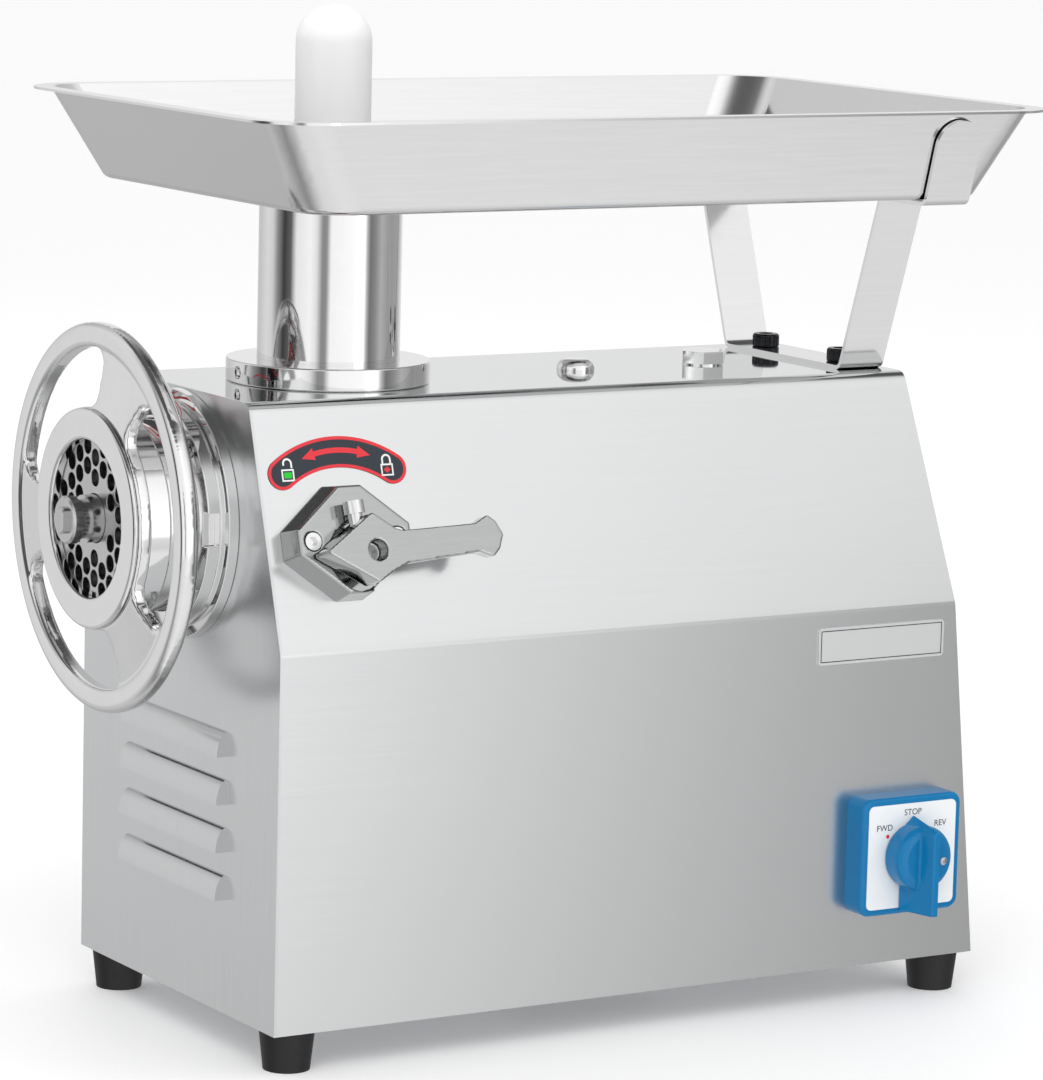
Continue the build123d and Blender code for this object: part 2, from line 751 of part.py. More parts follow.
# ================= feed neck, tray and pusher =================
tray_bottom_z = top_z + neck_height
with BuildPart() as feed_neck:
    with BuildSketch(Plane.XY.offset(top_z)):
        with Locations((neck_x, 0)):
            Circle(neck_radius)
    extrude(amount=neck_height)
    with BuildSketch(Plane.XY.offset(top_z)):
        with Locations((neck_x, 0)):
            Circle(neck_spigot_radius)
    extrude(amount=-neck_spigot_length)
    with BuildSketch(Plane.XY.offset(top_z - neck_spigot_length)):
        with Locations((neck_x, 0)):
            Circle(neck_bore_radius)
    extrude(amount=neck_spigot_length + neck_height, mode=Mode.SUBTRACT)

with BuildPart() as neck_collar:
    with BuildSketch(Plane.XY.offset(top_z)):
        with Locations((neck_x, 0)):
            Circle(collar_radius)
            Circle(neck_radius, mode=Mode.SUBTRACT)
    extrude(amount=collar_thickness)
    collar_circles = neck_collar.edges().filter_by(GeomType.CIRCLE)
    chamfer(collar_circles.filter_by(lambda e: e.radius > collar_radius - 1), length=0.6)
    with BuildSketch(Plane(origin=(neck_x, 0, top_z + collar_thickness / 2), z_dir=(-1, 0, 0))):
        Circle(grub_screw_radius)
    extrude(amount=collar_radius + 1, mode=Mode.SUBTRACT)

with BuildPart() as collar_screw:
    grub_plane = Plane(origin=(neck_x - neck_radius, 0, top_z + collar_thickness / 2), z_dir=(-1, 0, 0))
    with BuildSketch(grub_plane.offset(1)):
        Circle(grub_screw_radius)
    extrude(amount=collar_radius - neck_radius - 3)
    with BuildSketch(grub_plane.offset(collar_radius - neck_radius - 2)):
        RegularPolygon(grub_screw_radius / 1.8, 6)
    extrude(amount=-grub_screw_radius, mode=Mode.SUBTRACT)

tray_x = outlet_x + tray_offset
tray_mouth_length = tray_length - 2 * tray_rim
tray_mouth_width = tray_width - 2 * tray_rim
tray_floor_length = tray_mouth_length - 2 * tray_end_lean
tray_floor_width = tray_mouth_width - 2 * tray_side_lean
wall_corner = tray_corner_radius - tray_rim
end_wall = tray_sheet * math.hypot(tray_depth, tray_end_lean) / tray_depth
side_wall = tray_sheet * math.hypot(tray_depth, tray_side_lean) / tray_depth
rim_z = tray_bottom_z + tray_depth
with BuildPart() as tray:
    with BuildSketch(Plane.XY.offset(tray_bottom_z)):
        with Locations((tray_x, 0)):
            RectangleRounded(tray_floor_length, tray_floor_width, wall_corner)
    with BuildSketch(Plane.XY.offset(rim_z)):
        with Locations((tray_x, 0)):
            RectangleRounded(tray_mouth_length, tray_mouth_width, wall_corner)
    loft()
    fillet(tray.edges().group_by(Axis.Z)[0], radius=tray_edge_radius)
    with BuildSketch(Plane.XY.offset(rim_z)):
        with Locations((tray_x, 0)):
            RectangleRounded(tray_length, tray_width, tray_corner_radius)
    extrude(amount=-tray_sheet)
    # hollow of the tray, one sheet inside the outer faces
    with BuildPart(mode=Mode.SUBTRACT) as tray_hollow:
        cut_length = tray_floor_length - 2 * end_wall + 2 * tray_end_lean * tray_sheet / tray_depth
        cut_width = tray_floor_width - 2 * side_wall + 2 * tray_side_lean * tray_sheet / tray_depth
        with BuildSketch(Plane.XY.offset(tray_bottom_z + tray_sheet)):
            with Locations((tray_x, 0)):
                RectangleRounded(cut_length, cut_width, wall_corner - tray_sheet)
        with BuildSketch(Plane.XY.offset(rim_z)):
            with Locations((tray_x, 0)):
                mouth_size = (tray_mouth_length - 2 * end_wall, tray_mouth_width - 2 * side_wall)
                RectangleRounded(*mouth_size, wall_corner - tray_sheet)
        loft()
        fillet(tray_hollow.edges().group_by(Axis.Z)[0], radius=tray_edge_radius - tray_sheet)
    with BuildSketch(Plane.XY.offset(tray_bottom_z)):
        with Locations((neck_x, 0)):
            Circle(neck_bore_radius - sliding_gap - tray_sheet)
    extrude(amount=tray_depth, mode=Mode.SUBTRACT)

with BuildPart() as tray_spigot:
    with BuildSketch(Plane.XY.offset(tray_bottom_z)):
        with Locations((neck_x, 0)):
            Circle(neck_bore_radius - sliding_gap)
            Circle(neck_bore_radius - sliding_gap - tray_sheet, mode=Mode.SUBTRACT)
    extrude(amount=-tray_spigot_length)

with BuildPart() as pusher:
    pusher_bottom = axis_z + barrel_bore_radius - auger_flight_gap + pusher_gap
    with BuildSketch(Plane.XY.offset(pusher_bottom)):
        with Locations((neck_x, 0)):
            Circle(pusher_radius)
    extrude(amount=pusher_length)
    fillet(pusher.edges().sort_by(Axis.Z)[-1], radius=pusher_dome)
    chamfer(pusher.edges().sort_by(Axis.Z)[0], length=1.5)

# ================= bracket and top hardware =================
bracket_x = outlet_x + bracket_offset
side_lean = tray_side_lean / tray_depth
tab_foot = tray_floor_width / 2 + bracket_tray_gap
tab_end = tab_foot + bracket_tab_height * side_lean
shelf_height = neck_height - bracket_tray_gap
with BuildPart() as tray_bracket:
    # the upper face of the strip, from the top of one tab to the top of the other
    with BuildSketch(Plane(origin=(bracket_x, 0, top_z), x_dir=(0, 1, 0), z_dir=(1, 0, 0))):
        with BuildLine():
            strip = FilletPolyline(
                (-tab_end, shelf_height + bracket_tab_height),
                (-tab_foot, shelf_height),
                (-bracket_arm_half, shelf_height),
                (-bracket_base_half, bracket_thickness),
                (bracket_base_half, bracket_thickness),
                (bracket_arm_half, shelf_height),
                (tab_foot, shelf_height),
                (tab_end, shelf_height + bracket_tab_height),
                radius=bracket_bend_radius,
            )
            offset(amount=bracket_thickness, side=Side.RIGHT)
        make_face()
    extrude(amount=bracket_width / 2, both=True)

    # round ends on the two tabs
    tip_edges = tray_bracket.edges().filter_by(lambda e: e.length < bracket_thickness + 0.01)
    fillet(tip_edges.group_by(Axis.Z)[-1], radius=bracket_width / 2 - 0.5)
    with BuildSketch(top_plane.offset(bracket_thickness)):
        with Locations(*screw_spots):
            Circle(bracket_screw_radius)
    extrude(amount=-bracket_thickness, mode=Mode.SUBTRACT)

with BuildPart() as bracket_screws:
    with BuildSketch(top_plane.offset(bracket_thickness)):
        with Locations(*screw_spots):
            Circle(bracket_screw_head_radius)
    extrude(amount=bracket_screw_head_height)
    chamfer(bracket_screws.edges().group_by(Axis.Z)[-1], length=0.7)
    with BuildSketch(top_plane.offset(bracket_thickness)):
        with Locations(*screw_spots):
            Circle(bracket_screw_radius)
    extrude(amount=-bracket_screw_grip)
    with BuildSketch(top_plane.offset(bracket_thickness + bracket_screw_head_height)):
        with Locations(*screw_spots):
            RegularPolygon(bracket_screw_radius, 6)
    extrude(amount=-bracket_screw_head_height / 2, mode=Mode.SUBTRACT)

with BuildPart() as filler_plug:
    with BuildSketch(top_plane):
        with Locations((plug_offset, -hardware_shift)):
            Circle(plug_washer_radius)
    extrude(amount=plug_washer_thickness)
    with BuildSketch(top_plane.offset(plug_washer_thickness)):
        with Locations((plug_offset, -hardware_shift)):
            RegularPolygon(plug_across_flats / 2, 6, major_radius=False)
    extrude(amount=plug_head_height)
    with BuildSketch(top_plane):
        with Locations((plug_offset, -hardware_shift)):
            Circle(plug_thread_radius)
    extrude(amount=-plug_thread_length)

with BuildPart() as vent_cap:
    with BuildSketch(top_plane):
        with Locations((cap_offset, -hardware_shift)):
            Circle(cap_radius)
    extrude(amount=cap_height)
    fillet(vent_cap.edges().group_by(Axis.Z)[-1], radius=cap_height - cap_brim)
    with BuildSketch(top_plane):
        with Locations((cap_offset, -hardware_shift)):
            Circle(cap_radius / 2)
    extrude(amount=-3 * sheet)

# ================= head lock =================
flange_outline = [
    (-flange_half_width, -flange_corner_flat),
    (-flange_corner_flat, -flange_half_height),
    (flange_corner_flat, -flange_half_height),
    (flange_half_width, -flange_corner_flat),
    (flange_half_width, flange_corner_flat),
    (flange_corner_flat, flange_half_height),
    (-flange_corner_flat, flange_half_height),
    (-flange_half_width, flange_corner_flat),
]
flange_screw_spots = [
    (flange_offset - flange_half_width + flange_screw_inset, flange_rise),
    (flange_offset + flange_half_width - flange_screw_inset, flange_rise),
]
with BuildPart() as lock_flange:
    with BuildSketch(slope_plane):
        with Locations((flange_offset, flange_rise)):
            Polygon(*flange_outline, align=None)
    extrude(amount=flange_thickness, taper=flange_draft)
    flange_face = lock_flange.faces().sort_by(Axis(origin=(0, 0, 0), direction=slope_plane.z_dir))[-1]
    fillet(flange_face.edges(), radius=1.2)
    with BuildSketch(slope_plane.offset(flange_thickness)):
        with Locations((lock_offset, lock_rise)):
            Circle(flange_recess_radius)
    extrude(amount=-flange_recess_depth, mode=Mode.SUBTRACT)
    with BuildSketch(slope_plane.offset(flange_thickness)):
        with Locations((lock_offset, lock_rise)):
            Circle(shaft_radius + sliding_gap)
    extrude(amount=-flange_thickness, mode=Mode.SUBTRACT)
    with BuildSketch(slope_plane.offset(flange_thickness)):
        with Locations(*flange_screw_spots):
            Circle(flange_screw_head_radius + sliding_gap)
    extrude(amount=-flange_screw_head_height, mode=Mode.SUBTRACT)
    with BuildSketch(slope_plane.offset(flange_thickness)):
        with Locations(*flange_screw_spots):
            Circle(flange_screw_radius)
    extrude(amount=-flange_thickness, mode=Mode.SUBTRACT)

with BuildPart() as flange_screws:
    with BuildSketch(slope_plane.offset(flange_thickness - flange_screw_head_height)):
        with Locations(*flange_screw_spots):
            Circle(flange_screw_head_radius)
    extrude(amount=flange_screw_head_height)
    with BuildSketch(slope_plane):
        with Locations(*flange_screw_spots):
            Circle(flange_screw_radius)
    extrude(amount=flange_thickness - flange_screw_head_height)
    with BuildSketch(slope_plane.offset(flange_thickness)):
        with Locations(*flange_screw_spots):
            RegularPolygon(flange_screw_head_radius / 1.8, 6)
    extrude(amount=-flange_screw_head_height / 2, mode=Mode.SUBTRACT)

with BuildPart() as lock_shaft:
    with BuildSketch(slope_plane.offset(lever_back)):
        with Locations((lock_offset, lock_rise)):
            Circle(shaft_radius)
    extrude(amount=-lever_back - shaft_reach_inside)
    with BuildSketch(slope_plane.offset(-shaft_reach_inside)):
        with Locations((lock_offset + cam_throw, lock_rise)):
            Circle(cam_radius)
    extrude(amount=cam_thickness)

lever_front = lever_back + lever_boss_thickness
sin_lever = math.sin(math.radians(lever_rise_angle))
cos_lever = math.cos(math.radians(lever_rise_angle))
with BuildPart() as lock_lever:
    lever_plane = Plane(
        origin=slope_plane.from_local_coords((lock_offset, lock_rise, lever_front)),
        x_dir=slope_plane.x_dir * cos_lever + slope_plane.y_dir * sin_lever,
        z_dir=slope_plane.z_dir,
    )
    with BuildSketch(lever_plane) as boss_sketch:
        Polygon(
            (-lever_boss_left, 2),
            (-2, -lever_boss_half_height),
            (lever_boss_half_height - 1, -lever_arm_width / 2),
            (lever_boss_half_height - 1, lever_arm_width / 2),
            (0, lever_boss_top),
            align=None,
        )
        fillet(boss_sketch.vertices(), radius=1.5)
    extrude(amount=-lever_boss_thickness)
    with BuildSketch(lever_plane) as arm_sketch:
        Polygon(
            (0, -lever_boss_half_height + 2),
            (lever_boss_half_height, -lever_arm_width / 2 - 1),
            (lever_reach - 14, -lever_arm_width / 2),
            (lever_reach - 7, -lever_tail_width / 2),
            (lever_reach - 3, -lever_tail_width / 3),
            (lever_reach, 0),
            (lever_reach - 3, lever_tail_width / 3),
            (lever_reach - 7, lever_tail_width / 2),
            (lever_reach - 14, lever_arm_width / 2),
            (lever_boss_half_height, lever_arm_width / 2 + 1),
            (0, lever_boss_half_height - 2),
            align=None,
        )
        fillet(arm_sketch.vertices(), radius=1.5)
    extrude(amount=-lever_arm_thickness)
    with BuildSketch(lever_plane):
        Circle(lever_hole_radius)
    extrude(amount=-lever_hole_depth, mode=Mode.SUBTRACT)
    clamp_plane = Plane(
        origin=lever_plane.from_local_coords((clamp_across, clamp_head_rise, -clamp_depth)),
        x_dir=lever_plane.x_dir,
        z_dir=lever_plane.y_dir,
    )
    with BuildSketch(clamp_plane):
        Circle(clamp_shank_radius)
    extrude(amount=-clamp_shank_length, mode=Mode.SUBTRACT)

with BuildPart() as lever_bolt:
    with BuildSketch(clamp_plane):
        Circle(clamp_shank_radius)
    extrude(amount=-clamp_shank_length)
    with BuildSketch(clamp_plane):
        Circle(clamp_head_radius)
    extrude(amount=clamp_head_length)
    with BuildSketch(clamp_plane.offset(clamp_head_length)):
        RegularPolygon(clamp_head_radius / 2, 6)
    extrude(amount=-clamp_head_length / 2, mode=Mode.SUBTRACT)

with BuildPart() as side_label:
    with BuildSketch(slope_plane):
        with Locations((lock_offset, lock_rise)):
            add(arc_band(side_label_radius, side_label_width, side_label_span, 90))
    extrude(amount=label_thickness)

# ================= nameplate and switch =================
with BuildPart() as nameplate:
    with BuildSketch(side_plane):
        with Locations((nameplate_offset, nameplate_rise)):
            RectangleRounded(nameplate_length, nameplate_height, 2)
    extrude(amount=nameplate_thickness)

with BuildPart() as switch_plate:
    with BuildSketch(side_plane):
        with Locations((switch_offset, switch_rise)):
            RectangleRounded(switch_size, switch_size, switch_corner_radius)
    extrude(amount=switch_thickness)
    front_edges = switch_plate.faces().sort_by(Axis.Y)[0].edges()
    fillet(front_edges, radius=1.8)
    with BuildSketch(side_plane.offset(switch_thickness)):
        with Locations((switch_offset, switch_rise)):
            Circle(spindle_radius + sliding_gap)
    extrude(amount=-switch_thickness, mode=Mode.SUBTRACT)

with BuildPart() as switch_label:
    with BuildSketch(side_plane.offset(switch_thickness)):
        with Locations((switch_offset, switch_rise)):
            RectangleRounded(switch_label_size, switch_label_size, switch_corner_radius - 3)
            Circle(spindle_radius + sliding_gap, mode=Mode.SUBTRACT)
    extrude(amount=switch_label_thickness)

knob_back = switch_thickness + switch_label_thickness + knob_gap
with BuildPart() as switch_knob:
    with BuildSketch(side_plane.offset(knob_back)):
        with Locations((switch_offset, switch_rise)):
            Circle(knob_radius)
    extrude(amount=knob_disc_thickness)
    fillet(switch_knob.edges().sort_by(Axis.Y)[0], radius=2.5)
    grip_plane = Plane(
        origin=side_plane.from_local_coords((switch_offset, switch_rise, knob_back)),
        x_dir=(1, 0, 0),
        z_dir=(0, -1, 0),
    )
    grip_top = knob_grip_length * 0.46
    grip_bottom = knob_grip_length - grip_top
    with BuildSketch(grip_plane) as grip_sketch:
        Polygon(
            (0, grip_top),
            (-knob_grip_width / 2, grip_top - knob_grip_width / 2),
            (-knob_grip_width / 2, -grip_bottom + 1.5),
            (-knob_grip_width / 2 + 1.5, -grip_bottom),
            (knob_grip_width / 2 - 1.5, -grip_bottom),
            (knob_grip_width / 2, -grip_bottom + 1.5),
            (knob_grip_width / 2, grip_top - knob_grip_width / 2),
            align=None,
        )
    extrude(amount=knob_disc_thickness + knob_grip_height, taper=knob_grip_draft)
    with BuildSketch(grip_plane.offset(knob_disc_thickness)):
        with Locations((knob_radius * 0.68, 0)):
            Circle(knob_screw_radius + 0.3)
    extrude(amount=-knob_disc_thickness / 2, mode=Mode.SUBTRACT)

with BuildPart() as knob_screw:
    with BuildSketch(grip_plane.offset(knob_disc_thickness / 2)):
        with Locations((knob_radius * 0.68, 0)):
            Circle(knob_screw_radius)
    extrude(amount=knob_disc_thickness / 2 - 0.6)

with BuildPart() as switch_spindle:
    with BuildSketch(grip_plane):
        Circle(spindle_radius)
    extrude(amount=-knob_back - 2 * sheet)

with BuildPart() as switch_body:
    with BuildSketch(side_plane.offset(-sheet)):
        with Locations((switch_offset, switch_rise)):
            RectangleRounded(switch_body_size, switch_body_size, 3)
    extrude(amount=-switch_body_depth)
    with BuildSketch(side_plane.offset(-sheet)):
        with Locations((switch_offset, switch_rise)):
            Circle(spindle_radius + sliding_gap)
    extrude(amount=-switch_body_depth / 2, mode=Mode.SUBTRACT)

# ================= drive =================
def gear_radius(teeth):
    return gear_module * teeth / 2


stage_two_drop = gear_radius(output_teeth) + gear_radius(output_pinion_teeth)
stage_one_drop = gear_radius(motor_gear_teeth) + gear_radius(motor_pinion_teeth)
layshaft_plane = Plane(origin=(outlet_x, 0, axis_z - stage_two_drop), x_dir=(0, -1, 0), z_dir=(-1, 0, 0))
rotor_plane = Plane(
    origin=(outlet_x, 0, axis_z - stage_two_drop - stage_one_drop),
    x_dir=(0, -1, 0),
    z_dir=(-1, 0, 0),
)
case_start = barrel_length_inside + bearing_recess
cavity_start = case_start + 2 * case_front_wall
case_end = cavity_start + case_length - case_front_wall
cover_end = case_end + cover_thickness
output_gear_start = cavity_start + gear_end_gap
motor_gear_start = output_gear_start + output_gear_width + gear_end_gap
output_room = gear_radius(output_teeth) + gear_module + case_gear_gap
layshaft_room = gear_radius(motor_gear_teeth) + gear_module + case_gear_gap
pinion_room = gear_radius(motor_pinion_teeth) + gear_module + case_gear_gap

with BuildPart() as gearbox_case:
    with BuildSketch(head_plane.offset(-case_start - case_front_wall)):
        Circle(output_room + case_wall)
        with Locations((0, -stage_two_drop)):
            Circle(layshaft_room + case_wall)
        with Locations((0, -stage_two_drop - stage_one_drop)):
            Circle(pinion_room + case_wall)
        make_hull()
    extrude(amount=-(case_end - case_start - case_front_wall))
    with BuildSketch(head_plane.offset(-cavity_start)):
        Circle(output_room)
        with Locations((0, -stage_two_drop)):
            Circle(layshaft_room)
        with Locations((0, -stage_two_drop - stage_one_drop)):
            Circle(pinion_room)
        make_hull()
    extrude(amount=-(case_end - cavity_start), mode=Mode.SUBTRACT)
    # nose that carries the tail of the barrel and the output bearing
    with BuildSketch(head_plane.offset(-barrel_length_inside + nose_length)):
        Circle(barrel_radius + case_wall)
    extrude(amount=-(case_start + case_front_wall - barrel_length_inside + nose_length))
    with BuildSketch(head_plane.offset(-barrel_length_inside + nose_length)):
        Circle(barrel_radius)
    extrude(amount=-nose_length, mode=Mode.SUBTRACT)
    with BuildSketch(head_plane.offset(-barrel_length_inside)):
        Circle(output_bearing_radius)
    extrude(amount=-(cavity_start - barrel_length_inside), mode=Mode.SUBTRACT)
    with BuildSketch(layshaft_plane.offset(-cavity_start + case_front_wall - bearing_recess)):
        Circle(layshaft_bearing_radius)
    extrude(amount=-case_front_wall, mode=Mode.SUBTRACT)

with BuildPart() as gearbox_cover:
    with BuildSketch(head_plane.offset(-case_end)):
        Circle(output_room + case_wall)
        with Locations((0, -stage_two_drop)):
            Circle(layshaft_room + case_wall)
        with Locations((0, -stage_two_drop - stage_one_drop)):
            Circle(motor_radius)
        make_hull()
    extrude(amount=-cover_thickness)
    with BuildSketch(layshaft_plane.offset(-case_end)):
        Circle(layshaft_bearing_radius)
    extrude(amount=-cover_thickness + bearing_recess, mode=Mode.SUBTRACT)
    with BuildSketch(rotor_plane.offset(-case_end)):
        Circle(rotor_bearing_radius)
    extrude(amount=-cover_thickness, mode=Mode.SUBTRACT)

with BuildPart() as output_gear:
    with BuildSketch(head_plane.offset(-output_gear_start)):
        Polygon(*gear_points(output_teeth, -90), align=None)
    extrude(amount=-output_gear_width)
    with BuildSketch(head_plane.offset(-barrel_length_inside - 1)):
        Circle(output_shaft_radius)
    extrude(amount=-(output_gear_start + output_gear_width - barrel_length_inside - 1))
    with BuildSketch(head_plane.offset(-barrel_length_inside)):
        Circle(auger_tail_radius)
    extrude(amount=-auger_tail_length, mode=Mode.SUBTRACT)

layshaft_front = cavity_start - case_front_wall + bearing_recess + 1
with BuildPart() as layshaft:
    with BuildSketch(layshaft_plane.offset(-output_gear_start)):
        Polygon(*gear_points(output_pinion_teeth, 90 + 180 / output_pinion_teeth), align=None)
    extrude(amount=-output_gear_width)
    with BuildSketch(layshaft_plane.offset(-motor_gear_start)):
        Polygon(*gear_points(motor_gear_teeth, -90), align=None)
    extrude(amount=-motor_gear_width)
    with BuildSketch(layshaft_plane.offset(-layshaft_front)):
        Circle(layshaft_radius)
    extrude(amount=-(cover_end - bearing_recess - 1 - layshaft_front))

motor_end = body_length - rear_lean * (axis_z - bottom_z) - motor_rear_gap
cap_start = motor_end - motor_cap_thickness
stator_start = cover_end + stator_front_gap
stator_end = cap_start - stator_rear_gap
rotor_radius = motor_radius - motor_shell_wall - stator_wall
with BuildPart() as rotor:
    with BuildSketch(rotor_plane.offset(-motor_gear_start)):
        Polygon(*gear_points(motor_pinion_teeth, 90 + 180 / motor_pinion_teeth), align=None)
    extrude(amount=-motor_gear_width)
    with BuildSketch(rotor_plane.offset(-motor_gear_start)):
        Circle(rotor_shaft_radius)
    extrude(amount=-(motor_end - 1 - motor_gear_start))
    with BuildSketch(rotor_plane.offset(-stator_start)):
        Circle(rotor_radius - rotor_gap)
    extrude(amount=-(stator_end - stator_start))

with BuildPart() as stator:
    with BuildSketch(rotor_plane.offset(-stator_start)):
        Circle(rotor_radius + stator_wall)
        Circle(rotor_radius, mode=Mode.SUBTRACT)
    extrude(amount=-(stator_end - stator_start))

with BuildPart() as motor_shell:
    with BuildSketch(rotor_plane.offset(-cover_end)):
        Circle(motor_radius)
        Circle(motor_radius - motor_shell_wall, mode=Mode.SUBTRACT)
    extrude(amount=-(cap_start - cover_end))

with BuildPart() as motor_cap:
    with BuildSketch(rotor_plane.offset(-cap_start)):
        Circle(motor_radius)
        Circle(rotor_bearing_radius, mode=Mode.SUBTRACT)
    extrude(amount=-motor_cap_thickness)

with BuildPart() as motor_fan:
    fan_start = stator_end + stator_rear_gap / 3
    with BuildSketch(rotor_plane.offset(-fan_start)):
        Circle(fan_radius)
        Circle(rotor_shaft_radius, mode=Mode.SUBTRACT)
    extrude(amount=-fan_disc_thickness)
    with BuildSketch(rotor_plane.offset(-fan_start - fan_disc_thickness)):
        Circle(fan_hub_radius)
        with PolarLocations(fan_hub_radius - fan_disc_thickness, fan_blade_count):
            blade_length = fan_radius - fan_hub_radius
            Rectangle(blade_length, fan_disc_thickness, align=(Align.MIN, Align.CENTER))
        Circle(rotor_shaft_radius, mode=Mode.SUBTRACT)
    extrude(amount=-fan_blade_height)

bearing_places = [
    (head_plane, barrel_length_inside + 2, cavity_start, output_shaft_radius, output_bearing_radius),
    (layshaft_plane, layshaft_front, cavity_start, layshaft_radius, layshaft_bearing_radius),
    (layshaft_plane, case_end, cover_end - bearing_recess, layshaft_radius, layshaft_bearing_radius),
    (rotor_plane, case_end, cover_end, rotor_shaft_radius, rotor_bearing_radius),
    (rotor_plane, cap_start, motor_end, rotor_shaft_radius, rotor_bearing_radius),
]
with BuildPart() as bearings:
    for plane, start, end, shaft, outer in bearing_places:
        with BuildSketch(plane.offset(-start)):
            Circle(outer)
            Circle(shaft + running_gap, mode=Mode.SUBTRACT)
        extrude(amount=start - end)

cradle_middle = (cover_end + cap_start) / 2
motor_z = rotor_plane.origin.Z
with BuildPart() as motor_cradle:
    with BuildSketch(Plane.XY.offset(bottom_z + base_thickness)):
        with Locations((outlet_x + cradle_middle, 0)):
            Rectangle(cradle_length, cradle_width)
    extrude(amount=motor_z - motor_radius + cradle_wrap - bottom_z - base_thickness)
    with BuildSketch(rotor_plane.offset(-cover_end)):
        Circle(motor_radius)
    extrude(amount=-(cap_start - cover_end), mode=Mode.SUBTRACT)

with BuildPart() as capacitor:
    with BuildSketch(Plane.XY.offset(bottom_z + base_thickness)):
        with Locations((outlet_x + capacitor_offset, body_width / 4)):
            Circle(capacitor_radius)
    extrude(amount=capacitor_height)

gland_plane = Plane(
    origin=rear_plane.from_local_coords((-body_width / 4, gland_rise, 0)),
    x_dir=(0, 1, 0),
    z_dir=rear_plane.z_dir,
)
with BuildPart() as cable_gland:
    with BuildSketch(gland_plane):
        RegularPolygon(gland_hex_across / 2, 6, major_radius=False)
    extrude(amount=gland_hex_height)
    with BuildSketch(gland_plane.offset(gland_hex_height)):
        Circle(gland_dome_radius)
    extrude(amount=gland_dome_height)
    fillet(cable_gland.edges().sort_by(Axis(origin=(0, 0, 0), direction=gland_plane.z_dir))[-1], radius=2)
    with BuildSketch(gland_plane):
        Circle(gland_thread_radius)
    extrude(amount=-sheet - gland_nut_thickness - 2)
    with BuildSketch(gland_plane.offset(gland_hex_height + gland_dome_height)):
        Circle(gland_bore_radius)
    extrude(
        amount=-(gland_hex_height + gland_dome_height + sheet + gland_nut_thickness + 2),
        mode=Mode.SUBTRACT,
    )

with BuildPart() as gland_nut:
    with BuildSketch(gland_plane.offset(-sheet)):
        RegularPolygon(gland_hex_across / 2 + 1, 6, major_radius=False)
        Circle(gland_thread_radius, mode=Mode.SUBTRACT)
    extrude(amount=-gland_nut_thickness)

finished = [
    (housing_wrap, "housing_wrap"),
    (outlet_panel, "outlet_panel"),
    (rear_panel, "rear_panel"),
    (base_plate, "base_plate"),
    (feet, "feet"),
    (foot_screws, "foot_screws"),
    (mount_ring, "mount_ring"),
    (ring_screws, "ring_screws"),
    (ring_label, "ring_label"),
    (barrel, "barrel"),
    (plate_pin, "plate_pin"),
    (mincing_plate, "mincing_plate"),
    (knife, "knife"),
    (auger, "auger"),
    (auger_stub, "auger_stub"),
    (nut_hub, "nut_hub"),
    (handwheel, "handwheel"),
    (feed_neck, "feed_neck"),
    (neck_collar, "neck_collar"),
    (collar_screw, "collar_screw"),
    (tray, "tray"),
    (tray_spigot, "tray_spigot"),
    (pusher, "pusher"),
    (tray_bracket, "tray_bracket"),
    (bracket_screws, "bracket_screws"),
    (filler_plug, "filler_plug"),
    (vent_cap, "vent_cap"),
    (lock_flange, "lock_flange"),
    (flange_screws, "flange_screws"),
    (lock_shaft, "lock_shaft"),
    (lock_lever, "lock_lever"),
    (lever_bolt, "lever_bolt"),
    (side_label, "side_label"),
    (nameplate, "nameplate"),
    (switch_plate, "switch_plate"),
    (switch_label, "switch_label"),
    (switch_knob, "switch_knob"),
    (knob_screw, "knob_screw"),
    (switch_spindle, "switch_spindle"),
    (switch_body, "switch_body"),
    (gearbox_case, "gearbox_case"),
    (gearbox_cover, "gearbox_cover"),
    (output_gear, "output_gear"),
    (layshaft, "layshaft"),
    (rotor, "rotor"),
    (stator, "stator"),
    (motor_shell, "motor_shell"),
    (motor_cap, "motor_cap"),
    (motor_fan, "motor_fan"),
    (bearings, "bearings"),
    (motor_cradle, "motor_cradle"),
    (capacitor, "capacitor"),
    (cable_gland, "cable_gland"),
    (gland_nut, "gland_nut"),
]

for piece, label in finished:
    piece.part.label = label
    export_step(piece.part, "parts/" + label + ".step")
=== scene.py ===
import json
import math

import bmesh
import bpy
from mathutils import Matrix, Vector


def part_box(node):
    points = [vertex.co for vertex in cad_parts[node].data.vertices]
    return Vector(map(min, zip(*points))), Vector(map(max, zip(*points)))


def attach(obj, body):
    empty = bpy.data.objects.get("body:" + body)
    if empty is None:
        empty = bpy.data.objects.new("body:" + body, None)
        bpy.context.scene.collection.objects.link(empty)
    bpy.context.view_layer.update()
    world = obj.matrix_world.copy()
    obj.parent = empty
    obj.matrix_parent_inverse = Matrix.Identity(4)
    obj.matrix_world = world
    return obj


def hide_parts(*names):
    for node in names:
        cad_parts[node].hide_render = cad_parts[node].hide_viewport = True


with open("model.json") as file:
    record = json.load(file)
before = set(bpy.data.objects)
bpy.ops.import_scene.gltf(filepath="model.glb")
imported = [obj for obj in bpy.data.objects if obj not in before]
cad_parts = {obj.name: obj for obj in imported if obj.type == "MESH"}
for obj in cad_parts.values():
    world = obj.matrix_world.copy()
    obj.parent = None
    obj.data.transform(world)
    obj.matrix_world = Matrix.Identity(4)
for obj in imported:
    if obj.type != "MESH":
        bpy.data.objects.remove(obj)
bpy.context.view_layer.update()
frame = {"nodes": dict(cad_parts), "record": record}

nodes = frame["nodes"]
scene = bpy.context.scene
mm = 0.001


